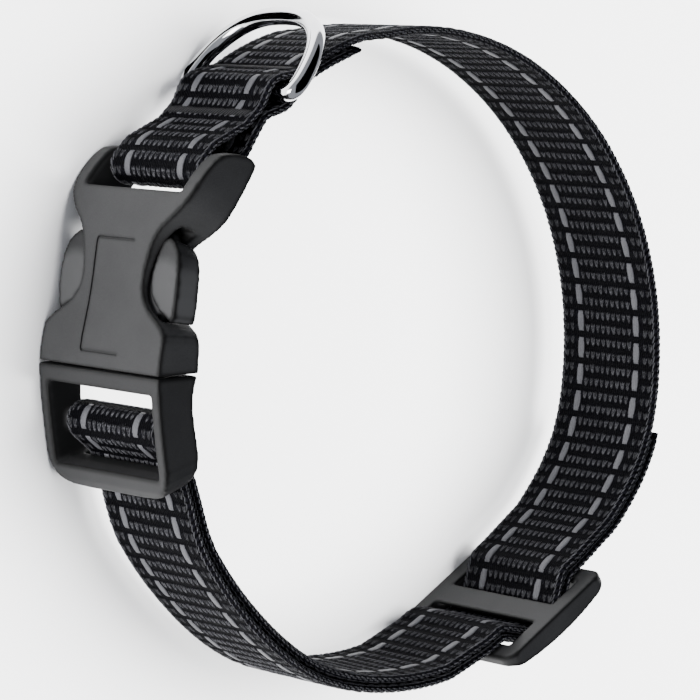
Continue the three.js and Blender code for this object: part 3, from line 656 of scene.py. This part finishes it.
def lay_on_strap(mesh, name, at, lift, face):
    """Lays a flat mesh on one face of the strap, its middle at a place along the path.

    Face 1 is the path's left, the loop's outer side. Face -1 is reached by a half turn about the
    cross axis, so the V marks point the other way there, as they do on the real strap.
    """
    points = read_values(mesh.vertices, "co", 3) + np.array([0, 0, lift])
    flat = points * np.array([face, 1, face]) + np.array([at, 0, 0])
    piece = mesh_piece(name, wrap(flat), [p.vertices[:] for p in mesh.polygons])
    keep_flat_place(piece, flat)
    piece.data.materials.append(next(m for m in mesh.materials if m))
    return piece


def both_faces(mesh, name, lift, shift):
    at = strap_length / 2 + shift
    return [lay_on_strap(mesh, f"{name}_{side}", at, lift, face)
            for side, face in (("outer", 1), ("inner", -1))]


print("tree meshes can be laid on", round(strap_length / MM, 1), "mm of strap")

# %% [markdown]
# ## Finishes of the webbing
# The cloth is near black with a faint blue in it. Fine warp threads run along it and lean a little,
# which a few ripples of the flat place give. The marks are mid grey yarn with fibres along them, and
# the dashes are a flat light grey tape with fine lines. The pitches are in millimetres, and the
# plain numbers in the sums are the share that each pattern has in the whole.

# %% The cloth
CLOTH_COLOURS = ((0.0006, 0.0006, 0.0010), (0.0150, 0.0150, 0.0205))
RIB_MM = RIB_PITCH / MM
WARP_PITCH = 0.52
TWIST_PITCH = 0.62
BRAID_STROKE = 1.15
BRAID_FROM_TO = (10.9, 11.6)
CLOTH_SPECK = 0.35 * MM
CLOTH_RELIEF = 0.16 * MM


def flat_place(tree):
    """Along and across the strap in millimetres, from the piece's own UV map."""
    uv = add_node(tree, "ShaderNodeUVMap", {"uv_map": "weave"})
    split = add_node(tree, "ShaderNodeSeparateXYZ", Vector=uv)
    return Value(tree, split.outputs["X"]), Value(tree, split.outputs["Y"])


def cloth_finish():
    material, tree, shader = new_finish("webbing_cloth")
    along, across = flat_place(tree)
    warp = (across + along.wave(RIB_MM) * 0.10).ripple(WARP_PITCH)
    twist = (along + across * 0.8).ripple(TWIST_PITCH)
    rib = along.wave(RIB_MM).math("ABSOLUTE")
    speck = grain(tree, CLOTH_SPECK, 3.0)
    painted_crest_light = (along + RIB_MM / 4).ripple(RIB_MM)
    edge = across.math("ABSOLUTE").step(*BRAID_FROM_TO)
    braid = (along + across * 0.5).ripple(BRAID_STROKE)
    thread = warp * 0.6 + twist * 0.4
    # Painted shade: the ground is darker in the troughs between the ribs and lighter on their crests.
    ground = (thread * 0.75 + speck.step(0.42, 0.68) * 0.55 - 0.30) * (0.25 + painted_crest_light * 0.75)
    light = ground * (1 - edge) + braid * speck * 1.5 * edge
    set_inputs(tree, shader, Base_Color=mix_colours(tree, light, *CLOTH_COLOURS),
               Roughness=0.72 + rib * 0.12, Specular_IOR_Level=0.03,
               Normal=bump(tree, thread * 0.8 + speck * 0.4, CLOTH_RELIEF))
    return material


webbing.data.materials.append(cloth_finish())
print("cloth:", webbing.data.materials[0].name)

# %% Yarn, tape and sewing thread
YARN_COLOURS = ((0.005, 0.005, 0.006), (0.170, 0.170, 0.184))
TAPE_COLOURS = ((0.095, 0.095, 0.103), (0.172, 0.172, 0.185))
SEAM_COLOURS = ((0.0008, 0.0008, 0.0010), (0.0400, 0.0400, 0.0440))
FIBRE_PITCH = 0.16
TAPE_LINE_PITCH = 0.42
TAPE_DOT_PITCH = 0.55
SEAM_TWIST_PITCH = 0.3
YARN_PATCH = 0.9 * MM
TAPE_SPECK = 0.3 * MM
SUNK_SHADE_FROM_TO = (8.0, 10.2)
SUNK_SHADE_ENDS = (10.8, 11.2)
THREAD_RELIEF = 0.05 * MM
TAPE_RELIEF = 0.04 * MM


def yarn_finish():
    """Grey yarn, with painted shade between the dashed lines and the edge, where the real marks are sunk.
    """
    material, tree, shader = new_finish("grey_yarn")
    along, across = flat_place(tree)
    fibre = (across + along * 0.3).ripple(FIBRE_PITCH)
    patch = grain(tree, YARN_PATCH, 3.0)
    from_middle = across.math("ABSOLUTE")
    # Painted shade: the marks between the dashed lines and the edge are darker.
    sunk_painted_shade = from_middle.step(*SUNK_SHADE_FROM_TO) * (1 - from_middle.step(*SUNK_SHADE_ENDS))
    light = (fibre * 0.35 + patch * 0.9).step(0.25, 0.95) * (1 - sunk_painted_shade * 0.55)
    set_inputs(tree, shader, Base_Color=mix_colours(tree, light, *YARN_COLOURS), Roughness=0.6,
               Specular_IOR_Level=0.15, Normal=bump(tree, fibre, THREAD_RELIEF))
    return material


def tape_finish():
    material, tree, shader = new_finish("reflective_tape")
    along, across = flat_place(tree)
    line = across.ripple(TAPE_LINE_PITCH)
    dot = (along + across * 2).ripple(TAPE_DOT_PITCH)
    speck = grain(tree, TAPE_SPECK, 2.0)
    light = (line * 0.3 + dot * 0.2 + speck * 0.7).step(0.2, 0.9)
    set_inputs(tree, shader, Base_Color=mix_colours(tree, light, *TAPE_COLOURS), Roughness=0.5,
               Specular_IOR_Level=0.2, Normal=bump(tree, line * 0.6 + dot * 0.4, TAPE_RELIEF))
    return material


def seam_finish():
    material, tree, shader = new_finish("seam_thread")
    along, across = flat_place(tree)
    twist = (along + across * 1.4).ripple(SEAM_TWIST_PITCH)
    set_inputs(tree, shader, Base_Color=mix_colours(tree, twist, *SEAM_COLOURS), Roughness=0.55,
               Specular_IOR_Level=0.15, Normal=bump(tree, twist, THREAD_RELIEF))
    return material


yarn = yarn_finish()
tape = tape_finish()
seam_thread = seam_finish()
print("threads:", yarn.name, tape.name, seam_thread.name)

# %% [markdown]
# ## The V marks
# On the real strap a light yarn shows on every rib as a row of small Vs. They could be painted on,
# but raised marks catch the lamp and break up the rims as the real ones do. The grid has one row a
# rib, and the same flat mesh serves both faces.

# %% Scatter the V marks
MARK_SINK = 0.75
rib_count = int(strap_length / RIB_PITCH)
mark_count = 2 * int(MARK_REACH / MARK_PITCH) + 1
flat_marks = run_tree(
    v_marks, "thread_marks", Rows=rib_count - 1, Columns=mark_count,
    Strip_Length=(rib_count - 2) * RIB_PITCH, Strip_Width=(mark_count - 1) * MARK_PITCH,
    Mark_Size=MARK_SIZE, Lean=(0, 0, MARK_LEAN), Offset=(0, MARK_PITCH * MARK_SPREAD, 0),
    Line=LINE_ACROSS, Clear=MARK_CLEAR, Seed=MARK_SEED, Finish=yarn)
rib_shift = rib_count / 2 * RIB_PITCH - strap_length / 2
marks = both_faces(flat_marks, "rib_threads", CLOTH_HALF + RIB_RISE * MARK_SINK, rib_shift)
print("thread marks:", rib_count - 1, "rows,", len(flat_marks.polygons), "faces a side")

# %% [markdown]
# ## The reflective dashes
# A flat tape is woven in and shows over every second rib. It is crowned, and its ends narrow and dive
# a little where it goes under the next rib. Two lines of one bent block give all the dashes.

# %% A tree for the dashes
DASH_LENGTH = 3.7 * MM
DASH_WIDTH = 1.5 * MM
DASH_THICK = 0.22 * MM
DASH_CROWN = 0.35
DASH_SINK = 0.8
DASH_CUTS = 12
DASH_COLUMNS = 5
END_POWER = 5.0
END_DROP = 0.10 * MM
END_TAPER = 0.12


def dash_tree():
    tree, given = new_tree("reflective_dashes", Count="Int", Start="Vector", Pitch="Float",
                           Line="Float", Dash_Size="Vector", Cuts="Int", Columns="Int", Crown="Float",
                           End_Dive="Float", End_Narrow="Float", Finish="Material")
    step = add_node(tree, "ShaderNodeCombineXYZ", X=given["Pitch"])
    row = add_node(tree, "GeometryNodeMeshLine", Count=given["Count"], Start_Location=given["Start"],
                   Offset=step)
    apart = add_node(tree, "ShaderNodeCombineXYZ", Y=given["Line"])
    lines = joined(tree, *(moved(tree, row, Translation=scaled(tree, apart, side))
                           for side in (1.0, -1.0)))
    block = add_node(tree, "GeometryNodeMeshCube", Size=given["Dash Size"], Vertices_X=given["Cuts"],
                     Vertices_Y=given["Columns"], Vertices_Z=2)
    across = position(tree, "Y")
    to_end = position(tree, "X").math("ABSOLUTE").math("POWER", END_POWER)
    dive = to_end * given["End Dive"] + across.math("POWER", 2.0) * given["Crown"]
    narrow = to_end * given["End Narrow"] * across
    bend = add_node(tree, "ShaderNodeCombineXYZ", Y=narrow, Z=dive)
    dash = add_node(tree, "GeometryNodeSetPosition", Geometry=block, Offset=bend)
    dashes = add_node(tree, "GeometryNodeInstanceOnPoints", Points=lines, Instance=dash)
    return finish_tree(tree, dashes, given["Finish"])


dash_count = int(strap_length / (2 * RIB_PITCH)) - 1
end_reach = (DASH_LENGTH / 2) ** END_POWER
flat_dashes = run_tree(
    dash_tree(), "reflective_dashes", Count=dash_count, Start=(-(dash_count - 1) * RIB_PITCH, 0, 0),
    Pitch=2 * RIB_PITCH, Line=LINE_ACROSS, Dash_Size=(DASH_LENGTH, DASH_WIDTH, DASH_THICK),
    Cuts=DASH_CUTS, Columns=DASH_COLUMNS, Crown=-DASH_THICK * DASH_CROWN / (DASH_WIDTH / 2) ** 2,
    End_Dive=-END_DROP / end_reach, End_Narrow=-END_TAPER / end_reach, Finish=tape)
dash_shift = (dash_count + 0.5) * RIB_PITCH - strap_length / 2
dashes = both_faces(flat_dashes, "reflective_dashes", CLOTH_HALF + RIB_RISE * DASH_SINK, dash_shift)
print("dashes:", dash_count, "on each of two lines a side")

# %% [markdown]
# ## Seams beside the ring and the selvedge's braid
# The ring's bar is held in a tunnel that two cross seams close. Each is a row of short slanting
# black stitches that lie over the ribs and cross both dashed lines.
# The strap's two edges are braided, with longer strokes of yarn along them.
# Both are rows of one thread shape, so a third small tree serves them both.

# %% A tree for rows of stitches
THREAD_CUTS = (5, 4)
THREAD_LEAST = (0.85, 0.85, 0.85)
THREAD_MOST = (1.12, 1.15, 1.1)


def row_tree():
    tree, given = new_tree("thread_row", Count="Int", Start="Vector", Step="Vector",
                           Thread_Size="Vector", Lean="Vector", Seed="Int", Finish="Material")
    row = add_node(tree, "GeometryNodeMeshLine", Count=given["Count"], Start_Location=given["Start"],
                   Offset=given["Step"])
    thread = moved(tree, spindle(tree, given["Thread Size"], *THREAD_CUTS), Rotation=given["Lean"])
    size = random_vector(tree, THREAD_LEAST, THREAD_MOST, given["Seed"])
    threads = add_node(tree, "GeometryNodeInstanceOnPoints", Points=row, Instance=thread, Scale=size)
    return finish_tree(tree, threads, given["Finish"])


thread_row = row_tree()
print("nodes in the tree of a row:", len(thread_row.nodes))

# %% Sew the seams and braid the edges
SEAM_PLACES = {"first": RING_AT + 6.5 * MM, "second": RING_AT - 5.6 * MM}
SEAM_SIDES = (("outer", 6 * MM), ("inner", -4 * MM))
SEAM_RISE = 0.08 * MM
STITCH_SIZE = (1.9 * MM, 0.55 * MM, 0.46 * MM)
STITCH_PITCH = 0.72 * MM
STITCH_COUNT = 31
STITCH_LEAN = math.radians(34)
BRAID_SIZE = (1.75 * MM, 0.30 * MM, 0.26 * MM)
BRAID_PITCH = 1.225 * MM
BRAID_LEAN = math.radians(17)
BRAID_ACROSS = 11.55 * MM
BRAID_SINK = 0.2
RIM_SIZE = (1.8 * MM, 0.26 * MM, 0.42 * MM)
RIM_ACROSS = 12.34 * MM


def path_near(spot):
    """The place along the path nearest to a point of the plan, and the face that looks at it."""
    away = spot - path
    index = int(np.argmin(np.linalg.norm(away, axis=1)))
    return path_along[index], 1 if away[index] @ path_left[index] > 0 else -1


def edge_row(name, across, size, lean, seed):
    """A flat row of yarn strokes along one edge."""
    return run_tree(thread_row, name, Count=braid_count, Start=(braid_start, across, 0),
                    Step=(BRAID_PITCH, 0, 0), Thread_Size=size, Lean=lean, Seed=seed, Finish=yarn)


flat_seam = run_tree(
    thread_row, "seam_stitches", Count=STITCH_COUNT,
    Start=(0, -(STITCH_COUNT - 1) / 2 * STITCH_PITCH, 0), Step=(0, STITCH_PITCH, 0),
    Thread_Size=STITCH_SIZE, Lean=(0, 0, STITCH_LEAN), Seed=MARK_SEED, Finish=seam_thread)
seams = []
for label, along in SEAM_PLACES.items():
    for side, lift in SEAM_SIDES:
        at, face = path_near(neck_place(along, lift) + neck_centre)
        height = CLOTH_HALF + RIB_RISE + SEAM_RISE
        seams.append(lay_on_strap(flat_seam, f"{label}_seam_{side}", at, height, face))
        print(label, side, "seam at", round(at / MM, 1), "mm of the strap")
braid_count = int(strap_length / BRAID_PITCH) - 2
braid_start = -(braid_count - 1) / 2 * BRAID_PITCH
braids = []
for label, way in (("near", 1), ("far", -1)):
    braid = edge_row("edge_braid", way * BRAID_ACROSS, BRAID_SIZE, (0, 0, way * BRAID_LEAN), MARK_SEED + 1)
    braids += both_faces(braid, f"edge_braid_{label}", CLOTH_HALF + RIB_RISE * BRAID_SINK, 0)
    rim = edge_row("edge_rim", way * RIM_ACROSS, RIM_SIZE, (0, way * BRAID_LEAN, 0), MARK_SEED + 2)
    braids.append(lay_on_strap(rim, f"edge_rim_{label}", strap_length / 2, 0, 1))
print("seam rows:", len(seams), "braids:", len(braids), "of", braid_count, "threads")

# %% [markdown]
# ## The moulded plastic
# The buckle's halves and the slider are injection moulded, so every edge is softly rounded.
# The CAD solids have sharp edges. Filling a copy of each with small cubes (a voxel remesh) and then
# relaxing the surface rounds all edges at once, inside corners too, which no bevel does as well.

# %% Copies with rounded edges
BUCKLE_VOXEL = 0.27 * MM
BUCKLE_RELAX = 10
SLIDER_VOXEL = 0.22 * MM
SLIDER_RELAX = 9
RELAX_FACTOR = 0.5
WELD_DISTANCE = 0.002 * MM


def moulded(name, node, voxel, relax):
    """A copy of a CAD node with soft edges."""
    solid = bmesh.new()
    solid.from_mesh(nodes[node].data)
    bmesh.ops.remove_doubles(solid, verts=solid.verts, dist=WELD_DISTANCE)
    mesh = bpy.data.meshes.new(name + "_sharp")
    solid.to_mesh(mesh)
    solid.free()
    sharp = new_object(name + "_sharp", mesh)
    cubes = sharp.modifiers.new("cubes", "REMESH")
    cubes.mode = "VOXEL"
    cubes.voxel_size = voxel
    soft = sharp.modifiers.new("soft", "SMOOTH")
    soft.factor = RELAX_FACTOR
    soft.iterations = relax
    made = plain_mesh(sharp)
    made.name = name
    bpy.data.objects.remove(sharp)
    made.materials.clear()
    made.shade_smooth()
    return new_object(name, made)


socket = moulded("socket_shell", "buckle_socket", BUCKLE_VOXEL, BUCKLE_RELAX)
plug = moulded("plug_shell", "buckle_plug", BUCKLE_VOXEL, BUCKLE_RELAX)
slider = moulded("slider_plate", "strap_slider", SLIDER_VOXEL, SLIDER_RELAX)
print("moulded faces:", [len(o.data.polygons) for o in (socket, plug, slider)])

# %% Tools that measure where a surface bends and where it is closed in
EDGE_FROM = 0.012
EDGE_TO = 0.05
EDGE_GAIN = 1.3
EDGE_SPREAD = 2
INSIDE_REACH = 32 * MM
INSIDE_START = 0.05 * MM


def spread(values, pairs, rounds):
    """Evens out values over the points that share an edge."""
    for _ in range(rounds):
        total, shares = values.copy(), np.ones(len(values))
        for a, b in ((0, 1), (1, 0)):
            np.add.at(total, pairs[:, a], values[pairs[:, b]])
            np.add.at(shares, pairs[:, a], 1)
        values = total / shares
    return values


def keep_values(mesh, name, values):
    mesh.attributes.new(name, "FLOAT", "POINT").data.foreach_set("value", values.astype(np.float32))


def ray_tree(mesh):
    """A mesh's faces in a form that rays can be shot at."""
    return BVHTree.FromPolygons([v.co for v in mesh.vertices], [p.vertices[:] for p in mesh.polygons])


def mark_edges(mesh, spacing):
    """Stores two values at each point: "edge", how strongly the surface bends outwards, and
    "inside", 1 on walls that look at another wall of the same piece, where little light comes in."""
    points = read_values(mesh.vertices, "co", 3)
    normals = read_values(mesh.vertex_normals, "vector", 3)
    pairs = read_values(mesh.edges, "vertices", 2, int)
    near = np.zeros((len(points), 4))
    for a, b in ((0, 1), (1, 0)):
        np.add.at(near[:, :3], pairs[:, a], points[pairs[:, b]])
        np.add.at(near[:, 3], pairs[:, a], 1)
    bend = ((points - near[:, :3] / near[:, 3:]) * normals).sum(axis=1) / spacing
    edge = np.clip((bend - EDGE_FROM) / (EDGE_TO - EDGE_FROM), 0, 1)
    keep_values(mesh, "edge", np.clip(spread(edge, pairs, EDGE_SPREAD) * EDGE_GAIN, 0, 1))
    tree = ray_tree(mesh)
    inside = np.zeros(len(points))
    for index, (spot, way) in enumerate(zip(points, normals)):
        start, way = Vector(spot), Vector(way)
        inside[index] = tree.ray_cast(start + way * INSIDE_START, way, INSIDE_REACH)[3] is not None
    keep_values(mesh, "inside", spread(inside, pairs, EDGE_SPREAD))

# %% [markdown]
# ## The bracket engraved in the socket's front
# The mould leaves a fine groove there, three sides of a rectangle. A thin bar is bent along that
# line and laid into the surface, whose height comes from rays shot inwards at each step.
# A Boolean modifier then takes the bar away, which leaves a real groove with walls and a floor.

# %% Cut the groove
GROOVE_CORNERS = [(-19.2, 4.9), (-19.2, -5.2), (-2.5, -5.2), (-2.5, 4.9)]
GROOVE_WIDTH = 0.36 * MM
GROOVE_DEPTH = 0.30 * MM
GROOVE_OVER = 0.6 * MM
GROOVE_STEP = 0.2 * MM
GROOVE_BLUR = 3
RAY_LIFT = 15 * MM
SHARP_FROM = math.radians(40)


def neck_spots(flat, lift):
    """World places of flat points (along, across) at lifts over the neck line."""
    return np.column_stack([neck_place(flat[:, 0], lift) + neck_centre, MIDDLE + flat[:, 1]])


def surface_lift(piece, flat):
    """How far over the neck line a piece's outer surface lies at flat points."""
    tree = ray_tree(piece.data)
    starts = neck_spots(flat, RAY_LIFT)
    aims = neck_spots(flat, 0) - starts
    hits = [tree.ray_cast(Vector(a), Vector(b).normalized())[3] for a, b in zip(starts, aims)]
    return RAY_LIFT - np.array(hits)


def face_outwards(mesh):
    shape = bmesh.new()
    shape.from_mesh(mesh)
    bmesh.ops.recalc_face_normals(shape, faces=shape.faces)
    shape.to_mesh(mesh)
    shape.free()


def groove_bar(piece):
    """A closed bar of square section along the groove, from its floor to just over the surface."""
    line = spaced(np.array(GROOVE_CORNERS) * MM, GROOVE_STEP)
    for _ in range(GROOVE_BLUR):
        line[1:-1] = (line[:-2] + 2 * line[1:-1] + line[2:]) / 4
    ahead = unit(np.gradient(line, axis=0))
    flank = np.stack([-ahead[:, 1], ahead[:, 0]], 1) * GROOVE_WIDTH / 2
    middle = surface_lift(piece, line)
    section = ((1, -GROOVE_DEPTH), (-1, -GROOVE_DEPTH), (-1, GROOVE_OVER), (1, GROOVE_OVER))
    rows = [neck_spots(line + flank * side, middle + over) for side, over in section]
    around = len(section)
    total = len(line) * around
    ends = [range(around), range(total - 1, total - 1 - around, -1)]
    bar = mesh_piece("groove_bar", np.stack(rows, 1).reshape(-1, 3), tube_faces(len(line), around) + ends)
    face_outwards(bar.data)
    return bar


def engrave(piece, bar):
    """Takes the bar out of the piece, and says how many faces that added."""
    cut = piece.modifiers.new("groove", "BOOLEAN")
    cut.operation = "DIFFERENCE"
    cut.solver = "MANIFOLD"
    cut.object = bar
    mesh = plain_mesh(piece)
    piece.modifiers.remove(cut)
    before = len(piece.data.polygons)
    piece.data = mesh
    bpy.data.objects.remove(bar)
    mesh.materials.clear()
    mesh.polygons.foreach_set("material_index", np.zeros(len(mesh.polygons), int))
    mesh.shade_smooth()
    mesh.set_sharp_from_angle(angle=SHARP_FROM)
    return len(mesh.polygons) - before


print("faces added by the groove:", engrave(socket, groove_bar(socket)))
mark_edges(socket.data, BUCKLE_VOXEL)
mark_edges(plug.data, BUCKLE_VOXEL)
mark_edges(slider.data, SLIDER_VOXEL)
print("values at each point:", [a.name for a in plug.data.attributes if a.data_type == "FLOAT"])

# %% [markdown]
# ## Moulded plastic's finish
# The plastic is charcoal with a fine spark-eroded grain that scatters light. Two sizes of noise drive
# the bump, colour and roughness. Outer edges carry a painted dark reflection, inner walls carry painted
# shade, the plug's darker charcoal is painted shade too, and the two buttons are paler.

# %% Charcoal plastic
GRAIN_SIZE = 0.16 * MM
GRAIN_RELIEF = 0.012 * MM
CLOUD_SIZE = 9 * MM
DEEP = (0.006, 0.006, 0.006)
CHARCOAL = (0.062, 0.062, 0.063)
# Painted shade: the plug is a darker charcoal than the socket, for the light that falls off towards it.
PLUG_SHADED_CHARCOAL = (0.042, 0.042, 0.043)
PALE_BUTTON = (0.095, 0.095, 0.096)
PALE_BUTTON_SHARE = 0.85
PALE_BUTTON_INNER = 5.0 * MM
PALE_BUTTON_OUTER = 7.5 * MM
# Share of painted dark reflection along the rounded outer edges.
EDGE_PAINTED_REFLECTION = 0.9
# Share of painted shade on inner walls that look at another wall.
INSIDE_PAINTED_SHADE = 0.7
BUTTON_ALONG = -12.0 * MM
BUTTON_ACROSS = 12.0 * MM
button_y = (neck_place(BUTTON_ALONG, 0) + neck_centre)[1]
BUTTON_SPOTS = [(0, button_y, MIDDLE + side * BUTTON_ACROSS) for side in (1, -1)]


def button_paleness(tree, spots):
    """1 near the spots where the plastic is paler, seen along X, and 0 beyond them."""
    place = add_node(tree, "ShaderNodeTexCoord").outputs["Object"]
    flat = add_node(tree, "ShaderNodeVectorMath", {"operation": "MULTIPLY"}, i0=place, i1=(0, 1, 1))
    total = 0
    for spot in spots:
        gap = add_node(tree, "ShaderNodeVectorMath", {"operation": "DISTANCE"}, i0=flat, i1=spot)
        total = (1 - Value(tree, gap.outputs["Value"]).step(PALE_BUTTON_INNER, PALE_BUTTON_OUTER)) + total
    return total


def stored(tree, name):
    """A value that mark_edges kept at each point."""
    node = add_node(tree, "ShaderNodeAttribute", {"attribute_name": name})
    return Value(tree, node.outputs["Fac"])


def plastic_finish(name, light, spots):
    material, tree, shader = new_finish(name)
    fine = grain(tree, GRAIN_SIZE, 2.0)
    cloud = grain(tree, CLOUD_SIZE, 3.0)
    edge, inside = stored(tree, "edge"), stored(tree, "inside")
    # Painted dark reflection: the colour darkens where the surface bends outwards at an edge.
    share = (fine * 0.55 + cloud * 0.45 + 0.25) * (1 - edge * EDGE_PAINTED_REFLECTION)
    # Painted shade: walls that look at another wall of the same piece are darker.
    colour = mix_colours(tree, share * (1 - inside * INSIDE_PAINTED_SHADE), DEEP, light)
    if spots:
        # The two buttons are paler, away from their edges.
        colour = mix_colours(tree, button_paleness(tree, spots) * PALE_BUTTON_SHARE * (1 - edge), colour, PALE_BUTTON)
    set_inputs(tree, shader, Base_Color=colour, Roughness=0.46 + fine * 0.10 + cloud * 0.06,
               Specular_IOR_Level=0.12, Normal=bump(tree, fine, GRAIN_RELIEF))
    return material


charcoal = plastic_finish("charcoal_plastic", CHARCOAL, [])
# The plug's finish has painted shade in its darker charcoal, and paler buttons.
shaded_plug_charcoal = plastic_finish("rubbed_charcoal_plastic", PLUG_SHADED_CHARCOAL, BUTTON_SPOTS)
for piece, finish in ((socket, charcoal), (slider, charcoal), (plug, shaded_plug_charcoal)):
    piece.data.materials.append(finish)
print("plastics:", charcoal.name, shaded_plug_charcoal.name)

# %% [markdown]
# ## The ring
# The ring is steel wire bent to a D, welded and polished. Its bar lies in the sewn tunnel, on the
# hinge, and its bow leans off the strap. Polished metal shows every flat, so the wire is swept
# afresh with many sides along the same line that the CAD ring follows.

# %% Sweep the wire
WIRE_RADIUS = 1.5 * MM
BOW_HEIGHT = 15.8 * MM
BOW_ROUNDNESS = 0.8
BOW_STEPS = 90
BAR_STEPS = 30
CORNER_CUT = 1.8 * MM
WIRE_SIDES = 28
WIRE_STEP = 0.35 * MM
WIRE_BLUR = 5
STEEL_COLOURS = ((0.50, 0.50, 0.52), (0.62, 0.62, 0.63))
STEEL_HAZE = 3 * MM


def ring_line():
    """The wire's middle in the ring's own plane: u along the bar, v away from it."""
    low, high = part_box("d_ring")
    half = (high.z - low.z) / 2 - WIRE_RADIUS
    angle = np.linspace(0, math.pi, BOW_STEPS)
    u = half * np.sign(np.cos(angle)) * np.abs(np.cos(angle)) ** BOW_ROUNDNESS
    v = BOW_HEIGHT * np.sin(angle) ** BOW_ROUNDNESS
    bow = np.stack([u, v], 1)[v > CORNER_CUT]
    bend = CORNER_CUT * (1 - math.sqrt(0.5))
    bar_half = half - CORNER_CUT
    bar = np.stack([np.linspace(-bar_half, bar_half, BAR_STEPS), np.zeros(BAR_STEPS)], 1)
    return np.concatenate([[[half - bend, bend]], bow, [[-half + bend, bend]], bar])


def closed_blur(points, size):
    """Evens out a closed line by averaging over its neighbours."""
    return sum(share * np.roll(points, k - size, 0) for k, share in enumerate(soft_window(size)))


def sweep_ring():
    """The wire's round section carried along its line, in the plane where the CAD ring rests."""
    loop = ring_line()
    even = closed_blur(spaced(np.concatenate([loop, loop[:1]]), WIRE_STEP), WIRE_BLUR)
    ahead = unit(np.roll(even, -1, 0) - np.roll(even, 1, 0))
    reach = np.array([v.co for v in nodes["d_ring"].data.vertices])[:, :2] - hinge[:2]
    up = reach[np.linalg.norm(reach, axis=1) > BOW_HEIGHT].mean(axis=0)
    up /= np.linalg.norm(up)
    flank = np.array([-up[1], up[0]])
    turn = np.linspace(0, 2 * math.pi, WIRE_SIDES, endpoint=False)
    outward = np.stack([ahead[:, 1], -ahead[:, 0]], 1)
    in_plane = even[:, None, :] + WIRE_RADIUS * np.cos(turn)[None, :, None] * outward[:, None, :]
    off_plane = WIRE_RADIUS * np.sin(turn)[None, :] * np.ones((len(even), 1))
    x = hinge[0] + up[0] * in_plane[:, :, 1] + flank[0] * off_plane
    y = hinge[1] + up[1] * in_plane[:, :, 1] + flank[1] * off_plane
    points = np.stack([x, y, MIDDLE + in_plane[:, :, 0]], -1).reshape(-1, 3)
    ring = mesh_piece("steel_ring", points, tube_faces(len(even), WIRE_SIDES, closed=True))
    face_outwards(ring.data)
    return ring


def chrome_finish():
    material, tree, shader = new_finish("polished_steel")
    haze = grain(tree, STEEL_HAZE, 3.0)
    set_inputs(tree, shader, Base_Color=mix_colours(tree, haze, *STEEL_COLOURS),
               Roughness=0.05 + haze * 0.06, Metallic=1.0)
    return material


ring = sweep_ring()
ring.data.materials.append(chrome_finish())
print("ring faces:", len(ring.data.polygons))

# %% [markdown]
# ## Hand each piece to its body
# The strap, buckle and slider move as one body, and the ring swings on its own.
# Each new piece stands for a CAD node, which then isn't shown.

# %% Bodies, replaced nodes and slots
PIECES = [
    (webbing, "collar", "webbing_strap", "webbing"),
    (socket, "collar", "buckle_socket", "buckle_plastic"),
    (plug, "collar", "buckle_plug", "buckle_plastic"),
    (slider, "collar", "strap_slider", "slider_plastic"),
    (ring, "ring", "d_ring", "ring_steel"),
]
for piece, body, node, slot in PIECES:
    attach(piece, body)
    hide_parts(node)
for piece in [*marks, *dashes, *seams, *braids]:
    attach(piece, "collar")
light_only(front_lamp, *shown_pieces())
light_only(overhead, floor)
